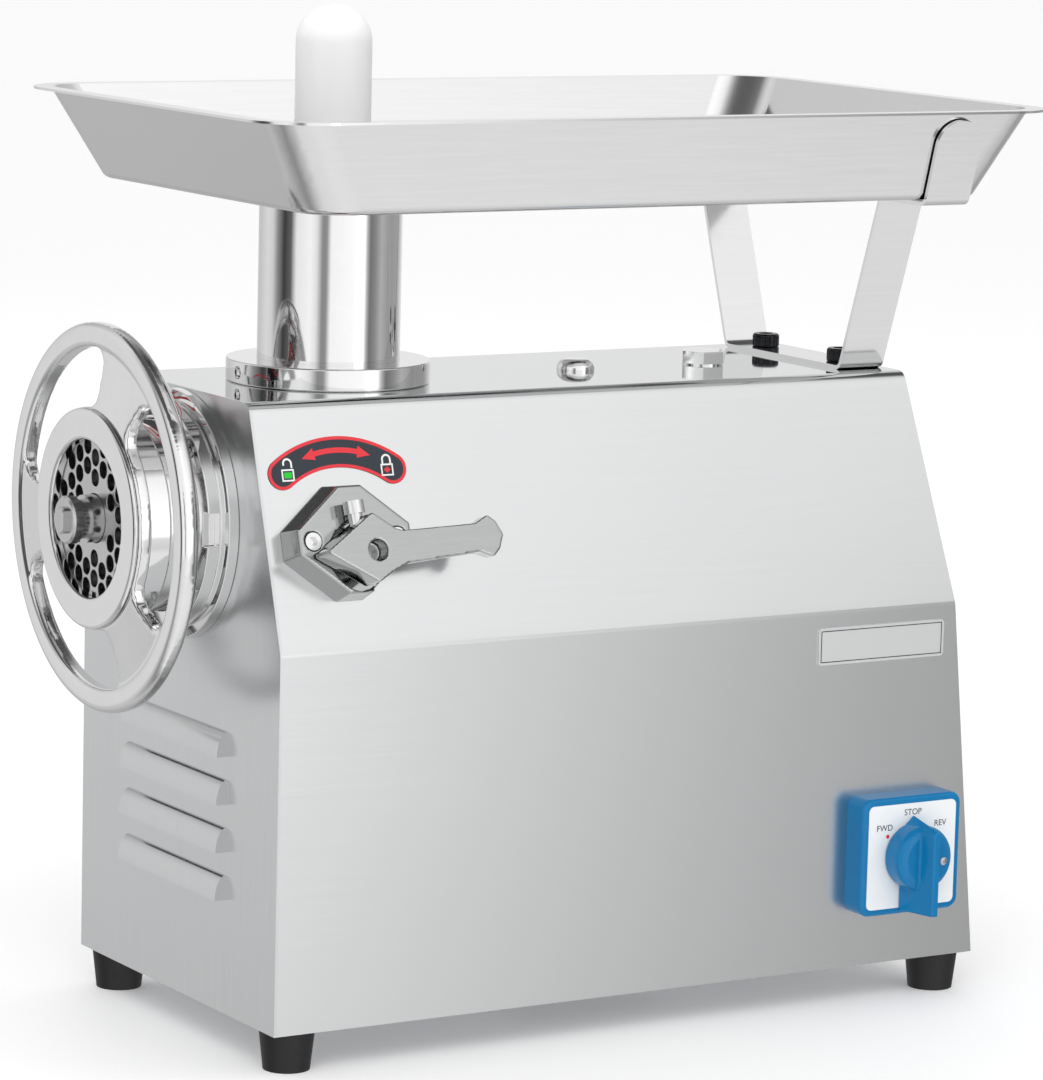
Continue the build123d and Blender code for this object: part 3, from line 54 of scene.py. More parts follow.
def linear(hexColour):  # sRGB hex to the linear values that shaders take
    channels = [int(hexColour[i:i + 2], 16) / 255 for i in (1, 3, 5)]
    return tuple(c / 12.92 if c <= 0.04045 else ((c + 0.055) / 1.055) ** 2.4 for c in channels) + (1.0,)


def addNode(tree, kind, settings=None, links=None):
    # a name that the node itself has is a setting; any other key is one of its inputs
    node = tree.nodes.new(kind)
    for key, value in (settings or {}).items():
        if isinstance(key, str) and hasattr(node, key):
            setattr(node, key, value)
        else:
            node.inputs[key].default_value = value
    for key, source in (links or {}).items():
        tree.links.new(source, node.inputs[key])
    return node


# seen from the front left of the switch side, slightly above
cameraLook = {
    "target": (0.01369, 0.0, 0.22936),
    "azimuth": -31.21,
    "elevation": 8.88,
    "distance": 2.4689,
    "roll": 1.43,
    "lens": 170.2,
    "shift": (0.00154, 0.00116),
}
turn = math.radians(cameraLook["azimuth"])
lift = math.radians(cameraLook["elevation"])
roll = math.radians(cameraLook["roll"])
back = Vector((math.sin(turn) * math.cos(lift), -math.cos(turn) * math.cos(lift), math.sin(lift)))
acrossLevel = Vector((0, 0, 1)).cross(back).normalized()
upLevel = back.cross(acrossLevel)
across = acrossLevel * math.cos(roll) + upLevel * math.sin(roll)
upward = -acrossLevel * math.sin(roll) + upLevel * math.cos(roll)
camera = bpy.data.objects.new("camera", bpy.data.cameras.new("camera"))
camera.data.lens = cameraLook["lens"]
camera.data.sensor_width = 36    # full frame
camera.data.sensor_fit = "HORIZONTAL"
camera.data.shift_x, camera.data.shift_y = cameraLook["shift"]
camera.data.clip_end = 100
place = Vector(cameraLook["target"]) + back * cameraLook["distance"]
camera.matrix_world = Matrix((
    (across.x, upward.x, back.x, place.x),
    (across.y, upward.y, back.y, place.y),
    (across.z, upward.z, back.z, place.z),
    (0, 0, 0, 1),
))
scene.collection.objects.link(camera)
scene.camera = camera
print("stage: camera")

# bright white room, which polished metal shows as soft bands round the object
studio = {
    # each band lists a direction in degrees and its brightness; 0 faces the switch side, 90 the rear
    "lowered": [
        (-180, 0.46), (-150, 0.60), (-115, 0.30), (-70, 0.85), (0, 0.95), (40, 0.92), (70, 0.70), (120, 0.55),
        (180, 0.46),
    ],
    "ledge": [
        (-180, 0.52), (-148, 0.66), (-110, 0.30), (-70, 0.85), (12, 1.05), (25, 1.05), (37, 0.20), (110, 0.40),
        (180, 0.52),
    ],
    "level": [
        (-180, 0.62), (-148, 0.82), (-134, 0.74), (-122, 0.30), (-108, 0.05), (-94, 0.14), (-84, 0.95),
        (-60, 1.10), (-50, 0.90), (-41, 0.30), (-34, 0.32), (-27, 1.10), (12, 1.20), (19, 2.00), (27, 1.60),
        (33, 0.55), (39, 0.20), (50, 0.30), (62, 0.50), (80, 0.36), (108, 0.40), (130, 0.80), (152, 0.88),
        (166, 0.66), (180, 0.62),
    ],
    "raised": [
        (-180, 0.50), (-140, 0.85), (-110, 0.30), (-70, 1.00), (0, 1.10), (24, 1.30), (38, 1.05), (60, 0.70),
        (110, 0.60), (150, 0.90), (180, 0.50),
    ],
    "overhead": 0.10,    # dark ceiling, seen only where metal looks straight up
    # upward share of a ray between which each band takes over from the one below it
    "takeOver": {
        "ledge": (-0.50, -0.38), "level": (-0.28, -0.18), "raised": (0.22, 0.34), "overhead": (0.66, 0.82),
    },
    "metalGlow": 1.0,    # strength that metal reflects
    "roomGlow": 0.93,    # strength that lights everything else
}
world = bpy.data.worlds.new("studio")
scene.world = world
world.use_nodes = True
sky = world.node_tree
sky.nodes.clear()
direction = addNode(sky, "ShaderNodeTexCoord").outputs["Generated"]
parts = addNode(sky, "ShaderNodeSeparateXYZ", links={0: direction}).outputs
behind = addNode(sky, "ShaderNodeMath", {"operation": "MULTIPLY", 1: -1.0}, {0: parts["Y"]}).outputs[0]
bearing = addNode(sky, "ShaderNodeMath", {"operation": "ARCTAN2"}, {0: parts["X"], 1: behind}).outputs[0]
share = addNode(sky, "ShaderNodeMapRange", {1: -math.pi, 2: math.pi}, {0: bearing}).outputs[0]


def bandRamp(levels):
    ramp = addNode(sky, "ShaderNodeValToRGB", links={0: share})
    stops = ramp.color_ramp.elements
    for index, (degrees, level) in enumerate(levels):
        position = (degrees + 180) / 360
        stop = stops[index] if index < 2 else stops.new(position)
        stop.position = position
        stop.color = (level, level, level, 1)
    return ramp.outputs[0]


def blendSky(under, over, start, end):
    limits = {1: start, 2: end, "interpolation_type": "SMOOTHSTEP"}
    rise = addNode(sky, "ShaderNodeMapRange", limits, {0: parts["Z"]}).outputs[0]
    return addNode(sky, "ShaderNodeMix", {"data_type": "RGBA"}, {0: rise, 6: under, 7: over}).outputs[2]


bands = bandRamp(studio["lowered"])
for band in ("ledge", "level", "raised"):
    bands = blendSky(bands, bandRamp(studio[band]), *studio["takeOver"][band])
ceiling = addNode(sky, "ShaderNodeRGB")
ceiling.outputs[0].default_value = (studio["overhead"],) * 3 + (1,)
bands = blendSky(bands, ceiling.outputs[0], *studio["takeOver"]["overhead"])
metalGlow = addNode(sky, "ShaderNodeBackground", {1: studio["metalGlow"]}, {0: bands}).outputs[0]
roomGlow = addNode(sky, "ShaderNodeBackground", {0: linear("#FFFFFF"), 1: studio["roomGlow"]}).outputs[0]
glossy = addNode(sky, "ShaderNodeLightPath").outputs["Is Glossy Ray"]
bothGlow = addNode(sky, "ShaderNodeMixShader", links={0: glossy, 1: roomGlow, 2: metalGlow})
addNode(sky, "ShaderNodeOutputWorld", links={0: bothGlow.outputs[0]})
scene.view_settings.view_transform = "Standard"
scene.view_settings.look = "None"

softBoxes = {
    "keyBox": {"at": (-1.1, -1.5, 1.7), "size": (1.3, 1.3), "power": 14},
    "fillBox": {"at": (1.9, -1.3, 1.2), "size": (1.0, 1.4), "power": 3},
    "backBox": {"at": (0.3, 2.0, 1.9), "size": (1.8, 0.9), "power": 5},
}
lampTarget = Vector((0, 0, 0.2))
for name, box in softBoxes.items():
    lamp = bpy.data.lights.new(name, "AREA")
    lamp.shape = "RECTANGLE"
    lamp.size, lamp.size_y = box["size"]
    lamp.energy = box["power"]
    lampObject = bpy.data.objects.new(name, lamp)
    lampObject.location = box["at"]
    aim = lampTarget - Vector(box["at"])
    lampObject.rotation_euler = aim.to_track_quat("-Z", "Y").to_euler()
    lampObject.visible_glossy = False   # metal takes its brightness from the room alone
    scene.collection.objects.link(lampObject)

# matt white table that runs out of sight and keeps soft contact shadows
tableFinish = {
    "colour": "#FAFAFA", "fleck": "#F6F6F6", "roughness": 0.6, "shine": 0.2, "grainMm": 2.0,
    "glow": 0.12,    # lifts it to the white of the room
    "half": 40.0,    # half its width in metres
}
tableMaterial = bpy.data.materials.new("mattWhiteTable")
tableMaterial.use_nodes = True
tree = tableMaterial.node_tree
surface = tree.nodes["Principled BSDF"]
surface.inputs["Roughness"].default_value = tableFinish["roughness"]
surface.inputs["Specular IOR Level"].default_value = tableFinish["shine"]
surface.inputs["Emission Color"].default_value = linear("#FFFFFF")
surface.inputs["Emission Strength"].default_value = tableFinish["glow"]
spot = addNode(tree, "ShaderNodeTexCoord").outputs["Object"]
speck = addNode(tree, "ShaderNodeTexNoise", {"Scale": 1 / (tableFinish["grainMm"] * mm)}, {0: spot})
tones = {"data_type": "RGBA", 6: linear(tableFinish["colour"]), 7: linear(tableFinish["fleck"])}
tint = addNode(tree, "ShaderNodeMix", tones, {0: speck.outputs[0]})
tree.links.new(tint.outputs[2], surface.inputs["Base Color"])
tableMesh = bpy.data.meshes.new("table")
half = tableFinish["half"]
tableCorners = [(-half, -half, 0), (half, -half, 0), (half, half, 0), (-half, half, 0)]
tableMesh.from_pydata(tableCorners, [], [(0, 1, 2, 3)])
tableMesh.materials.append(tableMaterial)
table = bpy.data.objects.new("table", tableMesh)
table.visible_glossy = False            # so that metal shows the room's bands
scene.collection.objects.link(table)
print("stage: studio")


# depths in metres that the bump strengths are shares of
relief = {"marks": 0.02 * mm, "dents": 1 * mm, "grain": 0.05 * mm}
noiseLow, noiseHigh = 0.3, 0.7    # nearly all noise values lie between these
soak = 4 * mm                     # how far light goes into the milky plastic


def startMaterial(name, colour, roughness, metallic=0.0, ior=None):
    material = bpy.data.materials.new(name)
    material.use_nodes = True
    tree = material.node_tree
    surface = tree.nodes["Principled BSDF"]
    surface.inputs["Base Color"].default_value = linear(colour)
    surface.inputs["Roughness"].default_value = roughness
    surface.inputs["Metallic"].default_value = metallic
    if ior:
        surface.inputs["IOR"].default_value = ior
    spot = addNode(tree, "ShaderNodeTexCoord").outputs["Object"]
    return material, tree, surface, spot


def toneAndGloss(tree, surface, look, pattern, grain):
    # pattern shifts the colour a little, grain the roughness
    tones = {"data_type": "RGBA", 6: linear(look["colour"]), 7: linear(look["darker"])}
    tint = addNode(tree, "ShaderNodeMix", tones, {0: pattern})
    tree.links.new(tint.outputs[2], surface.inputs["Base Color"])
    low, high = look["roughness"] - look["spread"], look["roughness"] + look["spread"]
    limits = {1: noiseLow, 2: noiseHigh, 3: low, 4: high}
    return addNode(tree, "ShaderNodeMapRange", limits, {0: grain}).outputs[0]


def steelFinish(name, look):
    # rolled or polished steel: fine marks along one direction, a slow drift of tone, and a slight waviness;
    # marksMm is the size of a mark along x, y and z, and fine brushing is drawn about 1 mm wide, coarser
    # than the real one, so that it shows at this distance
    material, tree, surface, spot = startMaterial(name, look["colour"], look["roughness"], 1.0)
    markScale = [1 / (size * mm) for size in look["marksMm"]]
    stretched = addNode(tree, "ShaderNodeMapping", {"Scale": markScale}, {0: spot}).outputs[0]
    fine = {"Scale": 1.0, "Detail": 3.0, "Roughness": 0.6}
    marks = addNode(tree, "ShaderNodeTexNoise", fine, {0: stretched}).outputs[0]
    slow = {"Scale": 1 / (look["driftMm"] * mm), "Detail": 2.0}
    drift = addNode(tree, "ShaderNodeTexNoise", slow, {0: spot}).outputs[0]
    blotch = addNode(tree, "ShaderNodeMix", {"data_type": "FLOAT", 0: 0.3}, {2: marks, 3: drift}).outputs[0]
    rough = toneAndGloss(tree, surface, look, blotch, blotch)
    if "byHeight" in look:  # height in metres and the share of the roughness there
        height = addNode(tree, "ShaderNodeSeparateXYZ", links={0: spot}).outputs["Z"]
        top = look["byHeight"][-1][0]
        level = addNode(tree, "ShaderNodeMath", {"operation": "DIVIDE", 1: top}, {0: height}).outputs[0]
        ramp = addNode(tree, "ShaderNodeValToRGB", links={0: level})
        stops = ramp.color_ramp.elements
        for index, (rise, part) in enumerate(look["byHeight"]):
            stop = stops[index] if index < 2 else stops.new(rise / top)
            stop.position = rise / top
            stop.color = (part, part, part, 1)
        factors = {0: rough, 1: ramp.outputs[0]}
        rough = addNode(tree, "ShaderNodeMath", {"operation": "MULTIPLY"}, factors).outputs[0]
    tree.links.new(rough, surface.inputs["Roughness"])
    swell = {"Scale": 1 / (look["waveMm"] * mm), "Detail": 1.0}
    wave = addNode(tree, "ShaderNodeTexNoise", swell, {0: spot}).outputs[0]
    scratchDepth = {"Strength": look["markDepth"], "Distance": relief["marks"]}
    scratch = addNode(tree, "ShaderNodeBump", scratchDepth, {"Height": marks}).outputs[0]
    dentDepth = {"Strength": look["waveDepth"], "Distance": relief["dents"]}
    dents = addNode(tree, "ShaderNodeBump", dentDepth, {"Height": wave, "Normal": scratch}).outputs[0]
    tree.links.new(dents, surface.inputs["Normal"])
    return material


def dullFinish(name, look):
    # plastic, rubber, paint or oxide: fine surface grain, slight unevenness of tone and gloss
    start = startMaterial(name, look["colour"], look["roughness"], look.get("metallic", 0.0), look["ior"])
    material, tree, surface, spot = start
    if look.get("glow"):  # light soaks into the plastic and softens its shading
        surface.inputs["Subsurface Weight"].default_value = look["glow"]
        surface.inputs["Subsurface Radius"].default_value = (soak, soak, soak)
        surface.inputs["Subsurface Scale"].default_value = 1.0
    surface.inputs["Specular IOR Level"].default_value = look.get("shine", 0.5)
    fine = {"Scale": 1 / (look["grainMm"] * mm), "Detail": 3.0}
    grain = addNode(tree, "ShaderNodeTexNoise", fine, {0: spot}).outputs[0]
    slow = {"Scale": 1 / (look["driftMm"] * mm), "Detail": 2.0}
    drift = addNode(tree, "ShaderNodeTexNoise", slow, {0: spot}).outputs[0]
    rough = toneAndGloss(tree, surface, look, drift, grain)
    tree.links.new(rough, surface.inputs["Roughness"])
    grainRelief = {"Strength": look["grainDepth"], "Distance": relief["grain"]}
    bump = addNode(tree, "ShaderNodeBump", grainRelief, {"Height": grain}).outputs[0]
    tree.links.new(bump, surface.inputs["Normal"])
    return material


finishes = {}
# brushed stainless sheet, grain along the length: a soft silver sheen with faint lines, clearer towards the top
finishes["satin_steel"] = steelFinish("brushedStainlessSheet", {
    "colour": "#DDDEDE", "darker": "#D8D9DA", "roughness": 0.24, "spread": 0.012, "marksMm": (70, 1.1, 1.1),
    "driftMm": 110, "waveMm": 160, "markDepth": 0.015, "waveDepth": 0.02,
    "byHeight": [(0.0, 1.0), (0.200, 1.0), (0.206, 0.75), (0.306, 0.6), (0.3145, 0.22), (0.32, 0.2)]})
# brushed stainless end panel, grain up and down: greyer and duller than the long sides
finishes["end_sheet"] = steelFinish("brushedStainlessEndPanel", {
    "colour": "#DCDDDE", "darker": "#D3D4D5", "roughness": 0.24, "spread": 0.02, "marksMm": (1.1, 1.1, 60),
    "driftMm": 90, "waveMm": 120, "markDepth": 0.03, "waveDepth": 0.03})
# pressed and polished stainless of the tray and bracket: brighter, clearer reflections
finishes["polished_steel"] = steelFinish("polishedStainlessSheet", {
    "colour": "#E9E9E9", "darker": "#E1E1E1", "roughness": 0.14, "spread": 0.02, "marksMm": (50, 1.4, 1.4),
    "driftMm": 80, "waveMm": 70, "markDepth": 0.02, "waveDepth": 0.05})
# buffed stainless casting: nearly a mirror, a little wavy from the buffing wheel
finishes["head_casting"] = steelFinish("buffedStainlessCasting", {
    "colour": "#EDEDED", "darker": "#E5E5E5", "roughness": 0.06, "spread": 0.015, "marksMm": (7, 7, 7),
    "driftMm": 30, "waveMm": 26, "markDepth": 0.02, "waveDepth": 0.08})
# ground cutting plate: fine grinding marks across, a little darker than the nut round it
finishes["plate_steel"] = steelFinish("groundStainlessPlate", {
    "colour": "#CFCFCF", "darker": "#BEBEBE", "roughness": 0.22, "spread": 0.05, "marksMm": (2, 0.6, 12),
    "driftMm": 12, "waveMm": 25, "markDepth": 0.3, "waveDepth": 0.05})
# bright zinc plating of screws and clips: bluish grey with a soft spangle
finishes["zinc_steel"] = steelFinish("brightZincPlate", {
    "colour": "#C9CBCF", "darker": "#B6B9BF", "roughness": 0.33, "spread": 0.07, "marksMm": (5, 5, 5),
    "driftMm": 14, "waveMm": 30, "markDepth": 0.2, "waveDepth": 0.05})
# cut gear steel under oil: dark grey with a low shine along the machining
finishes["gear_steel"] = steelFinish("oiledCutSteel", {
    "colour": "#8B8B8E", "darker": "#74747A", "roughness": 0.3, "spread": 0.08, "marksMm": (4, 1, 1),
    "driftMm": 10, "waveMm": 30, "markDepth": 0.3, "waveDepth": 0.04})
# sand-cast aluminium: pale, matt and pebbly
finishes["gearbox_alloy"] = steelFinish("castAluminium", {
    "colour": "#B9BABD", "darker": "#A3A4A8", "roughness": 0.5, "spread": 0.08, "marksMm": (1.5, 1.5, 1.5),
    "driftMm": 12, "waveMm": 20, "markDepth": 0.8, "waveDepth": 0.1})
# oiled black oxide of the socket screws: near black with a hard, low shine
finishes["black_oxide"] = dullFinish("blackOxideSteel", {
    "colour": "#2C2D30", "darker": "#37383B", "roughness": 0.22, "spread": 0.05, "ior": 1.5, "grainMm": 0.8,
    "driftMm": 6, "grainDepth": 0.12, "metallic": 0.8})
# moulded rubber: deep black, almost no shine, faintly rough
finishes["rubber_foot"] = dullFinish("mouldedBlackRubber", {
    "colour": "#0B0B0C", "darker": "#141415", "roughness": 0.55, "spread": 0.08, "ior": 1.5, "grainMm": 0.9,
    "driftMm": 15, "grainDepth": 0.5})
# turned polyethylene: clean milky white that light soaks into, with a soft sheen
finishes["pusher_plastic"] = dullFinish("turnedWhitePolyethylene", {
    "colour": "#FBFBFB", "darker": "#F7F7F7", "roughness": 0.33, "spread": 0.04, "ior": 1.5, "grainMm": 1.2,
    "driftMm": 50, "grainDepth": 0.15, "glow": 0.25})
# glossy moulded knob: even blue with clear highlights
finishes["switch_blue"] = dullFinish("glossyBlueMoulding", {
    "colour": "#0076AE", "darker": "#006FA6", "roughness": 0.20, "shine": 0.35, "spread": 0.03, "ior": 1.49,
    "grainMm": 0.9, "driftMm": 25, "grainDepth": 0.03})
# satin printed foil of the switch face: slightly grey white
finishes["switch_white"] = dullFinish("satinPrintedFoil", {
    "colour": "#EFF1F2", "darker": "#E9ECEE", "roughness": 0.35, "spread": 0.03, "ior": 1.5, "grainMm": 1.0,
    "driftMm": 30, "grainDepth": 0.1})
# printed vinyl: blue-black with a plain satin surface
finishes["label_black"] = dullFinish("printedBlackVinyl", {
    "colour": "#1C2530", "darker": "#232C37", "roughness": 0.3, "spread": 0.04, "ior": 1.5, "grainMm": 0.8,
    "driftMm": 20, "grainDepth": 0.1})
# dark grey enamel of the motor: half gloss with a little orange peel
finishes["motor_paint"] = dullFinish("darkGreyEnamel", {
    "colour": "#39404A", "darker": "#333A43", "roughness": 0.4, "spread": 0.05, "ior": 1.5, "grainMm": 1.2,
    "driftMm": 25, "grainDepth": 0.4})
# varnished laminations: brown, uneven and streaky in gloss
finishes["lamination"] = dullFinish("varnishedLaminations", {
    "colour": "#7C6350", "darker": "#6A5443", "roughness": 0.4, "spread": 0.06, "ior": 1.5, "grainMm": 1.0,
    "driftMm": 10, "grainDepth": 0.6})
# moulded nylon of the fan: dull black
finishes["fan_plastic"] = dullFinish("blackNylon", {
    "colour": "#1E1E1F", "darker": "#252526", "roughness": 0.45, "spread": 0.06, "ior": 1.53, "grainMm": 1.0,
    "driftMm": 15, "grainDepth": 0.3})
# moulded nylon of the gland and switch body: black with a fine matt grain
finishes["black_plastic"] = dullFinish("blackMouldedNylon", {
    "colour": "#151516", "darker": "#1C1C1E", "roughness": 0.4, "spread": 0.06, "ior": 1.53, "grainMm": 0.8,
    "driftMm": 12, "grainDepth": 0.3})
# anodised aluminium nameplate, left blank: paler and duller than the steel round it
finishes["plateSilver"] = steelFinish("anodisedAluminiumPlate", {
    "colour": "#EEEFEF", "darker": "#E6E7E7", "roughness": 0.45, "spread": 0.03, "marksMm": (30, 0.8, 0.8),
    "driftMm": 40, "waveMm": 60, "markDepth": 0.05, "waveDepth": 0.02})
# cast lock parts, satin stainless: a greyer base colour than the buffed head, painted shade that darkens the
# lever and flange
finishes["shadedLockCasting"] = steelFinish("shadedSatinStainlessCasting", {
    "colour": "#B7B8B8", "darker": "#ABACAC", "roughness": 0.12, "spread": 0.03, "marksMm": (14, 1.2, 1.2),
    "driftMm": 12, "waveMm": 24, "markDepth": 0.03, "waveDepth": 0.10})
# pieces that share a slot with others but are finished another way; the lock lever and flange take the casting
# whose grey is painted shade
ownFinish = {"outlet_panel": "end_sheet", "nameplate": "plateSilver", "auger_stub": "plate_steel",
             "lock_lever": "shadedLockCasting", "lock_flange": "shadedLockCasting", "filler_plug": "head_casting",
             "vent_cap": "head_casting"}

for part in frame["record"]["subparts"]:
    thing = nodes[part["node"]]
    finish = finishes[ownFinish.get(part["node"], part["material_slot"])]
    for materialSlot in thing.material_slots:
        materialSlot.material = finish
print("stage: finishes")


def softenEdges(name, width, segments=3, angle=28):
    # turned and machined edges get a small even round, so that they catch a line of light
    thing = nodes[name]
    mesh = thing.data
    for layer in ("custom_normal", "sharp_edge", "sharp_face"):
        if layer in mesh.attributes:
            mesh.attributes.remove(mesh.attributes[layer])
    mesh.shade_smooth()
    weld = thing.modifiers.new("weld", "WELD")
    weld.merge_threshold = 0.01 * mm
    bevel = thing.modifiers.new("softEdge", "BEVEL")
    bevel.width = width * mm
    bevel.segments = segments
    bevel.limit_method = "ANGLE"
    bevel.angle_limit = math.radians(angle)
    bevel.harden_normals = True
    bevel.use_clamp_overlap = True


edgeWidths = {
    "nut_hub": 0.8, "mount_ring": 0.5, "neck_collar": 0.3, "filler_plug": 0.4, "switch_plate": 0.4,
    "mincing_plate": 0.35, "lock_shaft": 0.4,
}
for name, width in edgeWidths.items():
    softenEdges(name, width)


def roundOver(thing, gridMm, passes):
    # rounds every corner, as hand buffing or moulding does; more passes give fuller rounds
    remake = thing.modifiers.new("remake", "REMESH")
    remake.mode = "VOXEL"
    remake.voxel_size = gridMm * mm
    remake.use_smooth_shade = True
    ease = thing.modifiers.new("ease", "SMOOTH")
    ease.factor = 0.5
    ease.iterations = passes


castings = {"handwheel": (0.8, 10), "lock_lever": (0.4, 8), "lock_flange": (0.45, 6)}
for name, (gridMm, passes) in castings.items():
    roundOver(nodes[name], gridMm, passes)
print("stage: edges")


def printInk(name, colour, darker):
    # screen ink: a flat clear colour under a thin satin skin
    return dullFinish(name, {"colour": colour, "darker": darker, "roughness": 0.35, "spread": 0.03, "ior": 1.5,
                             "grainMm": 0.6, "driftMm": 8, "grainDepth": 0.1})


inks = {
    "red": printInk("redScreenInk", "#E8303C", "#DE2A36"),
    "white": printInk("whiteScreenInk", "#F4F5F5", "#EDEEEE"),
    "green": printInk("greenScreenInk", "#10CF2B", "#0EC427"),
    "black": printInk("blackScreenInk", "#2B3036", "#24282E"),
}
slope = math.atan2(36, 114)       # the sloping side leans in 36 mm over 114 mm
namePlate = {
    "along": 340.7, "rise": 165.0,            # centre, from the outlet end and from the base
    "halfX": 38.0, "halfY": 9.3, "inset": 1.3, "line": 0.45, "lift": 0.82,
}
origin = {
    "outlet": (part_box("nameplate")[0][0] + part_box("nameplate")[1][0]) / 2 - namePlate["along"] * mm,
    "side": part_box("housing_wrap")[0][1],
    "bend": 0.2015,                           # height where the side starts to lean
    "axis": (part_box("barrel")[0][2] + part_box("barrel")[1][2]) / 2,
}


def placeOn(corner, right, up):
    # puts flat drawings on a surface: x along right, y along up, z out of it
    out = Vector(right).cross(Vector(up))
    return Matrix((
        (right[0], up[0], out[0], corner[0]),
        (right[1], up[1], out[1], corner[1]),
        (right[2], up[2], out[2], corner[2]),
        (0, 0, 0, 1),
    ))


def shifted(points, x, y):
    return [(x + px, y + py) for px, py in points]


def arcPoints(radius, start, end, count, centre=(0, 0)):
    angles = [math.radians(start + (end - start) * i / count) for i in range(count + 1)]
    return [(centre[0] + radius * math.cos(a), centre[1] + radius * math.sin(a)) for a in angles]


def circlePoints(radius, count, centre=(0, 0)):
    return arcPoints(radius, 0, 360 - 360 / count, count - 1, centre)


def bentSlot(radius, halfWidth, span, steps=40, endSteps=16):
    # outline of a bent strip with round ends
    first, last = 90 + span / 2, 90 - span / 2
    ends = [(radius * math.cos(math.radians(a)), radius * math.sin(math.radians(a))) for a in (first, last)]
    outline = arcPoints(radius + halfWidth, first, last, steps)
    outline += arcPoints(halfWidth, last, last - 180, endSteps, ends[1])[1:-1]
    outline += arcPoints(radius - halfWidth, last, first, steps)
    outline += arcPoints(halfWidth, first + 180, first, endSteps, ends[0])[1:-1]
    return outline


def strip(outer, inner, closed=True):
    # faces between two outlines of equal count
    count = len(outer)
    steps = range(count if closed else count - 1)
    return [(outer[i], outer[(i + 1) % count], inner[(i + 1) % count], inner[i]) for i in steps]


def borderOf(label, gap=0.05):
    outer = bentSlot(label["radius"], label["halfWidth"] - gap, label["span"])
    inner = bentSlot(label["radius"], label["halfWidth"] - label["border"], label["span"])
    return strip(outer, inner)


def doubleArrow(radius, reach, headLength, headHalf, lineHalf, steps=24):
    # curved line with a head at both ends; reach is in degrees from the middle
    neck = reach - math.degrees(headLength / radius)
    shaftOut = arcPoints(radius + lineHalf, 90 + neck, 90 - neck, steps)
    shaftIn = arcPoints(radius - lineHalf, 90 + neck, 90 - neck, steps)
    faces = strip(shaftOut, shaftIn, closed=False)
    for sign in (1, -1):
        tip = arcPoints(radius, 90 + sign * reach, 90, 1)[0]
        wide = [arcPoints(radius + side * headHalf, 90 + sign * neck, 90, 1)[0] for side in (1, -1)]
        faces.append((tip, *wide))
    return faces


def boxCorners(x, y, halfX, halfY):
    return [(x - halfX, y - halfY), (x + halfX, y - halfY), (x + halfX, y + halfY), (x - halfX, y + halfY)]


def frameOf(x, y, halfX, halfY, line):
    # rectangle drawn as a line
    return strip(boxCorners(x, y, halfX, halfY), boxCorners(x, y, halfX - line, halfY - line))


def shackle(x, y, start, end, radius, line, leg=2.2):
    # bow of a padlock, with a straight leg at each end that reaches the case
    outer = arcPoints(radius + line / 2, start, end, 14, (x, y))
    inner = arcPoints(radius - line / 2, start, end, 14, (x, y))
    if start == 0:
        outer.insert(0, (x + radius + line / 2, y - leg))
        inner.insert(0, (x + radius - line / 2, y - leg))
    if end == 180:
        outer.append((x - radius - line / 2, y - leg))
        inner.append((x - radius + line / 2, y - leg))
    return strip(outer, inner, closed=False)


def addPiece(name, mesh, place, finish, body, smooth=True):
    bmesh.ops.recalc_face_normals(mesh, faces=mesh.faces)
    bmesh.ops.transform(mesh, matrix=place, verts=mesh.verts)
    data = bpy.data.meshes.new(name)
    mesh.to_mesh(data)
    mesh.free()
    data.materials.append(finish)
    if smooth:
        data.shade_smooth()
    piece = bpy.data.objects.new(name, data)
    scene.collection.objects.link(piece)
    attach(piece, body)
    return piece


def printPiece(name, faces, place, ink, body, lift, thickness=0.06):
    mesh = bmesh.new()
    for face in faces:
        mesh.faces.new([mesh.verts.new((x * mm, y * mm, lift * mm)) for x, y in face])
    bmesh.ops.remove_doubles(mesh, verts=mesh.verts, dist=0.001 * mm)
    grown = bmesh.ops.extrude_face_region(mesh, geom=list(mesh.faces), use_keep_orig=True)["geom"]
    raised = [item for item in grown if isinstance(item, bmesh.types.BMVert)]
    bmesh.ops.translate(mesh, verts=raised, vec=(0, 0, thickness * mm))
    return addPiece(name, mesh, place, inks[ink], body, smooth=False)


# curved label of the lock lever on the sloping side: arrow between an open and a closed padlock
lockLabel = {
    "along": 42.5, "rise": 43.0,              # centre of its bend, from the outlet end and up the slope
    "radius": 51.5, "halfWidth": 7.5, "span": 70, "border": 1.6, "lift": 0.42,
    "arrow": {"reach": 20.5, "headLength": 7.0, "headHalf": 2.9, "lineHalf": 1.25},
    "arrowOut": 0.8,
    "lockAcross": 26.6, "lockRise": 43.2,     # padlocks, from the centre of the bend
    "caseDrop": 1.6, "case": {"halfX": 3.3, "halfY": 2.9, "line": 0.75},
    "bow": {"radius": 2.1, "line": 0.9},
    # bow's offset from its padlock, and the angles where it starts and ends
    "openBow": (0.2, 4.0, 0, 205), "shutBow": (0, 3.4, 0, 180),
    "freeSign": [(-2.0, -3.0), (2.0, -3.0), (2.0, -0.2), (-2.0, -0.2)],
    "heldSign": [(-1.9, -1.6), (0, -3.1), (1.9, -1.6), (0, -0.1)],
}
corner = (origin["outlet"] + lockLabel["along"] * mm,
          origin["side"] + lockLabel["rise"] * math.sin(slope) * mm,
          origin["bend"] + lockLabel["rise"] * math.cos(slope) * mm)
onSlope = placeOn(corner, (1, 0, 0), (0, math.sin(slope), math.cos(slope)))
lockX, lockY, lift = lockLabel["lockAcross"], lockLabel["lockRise"], lockLabel["lift"]
lockArrow = doubleArrow(lockLabel["radius"] + lockLabel["arrowOut"], **lockLabel["arrow"])
padlocks = []
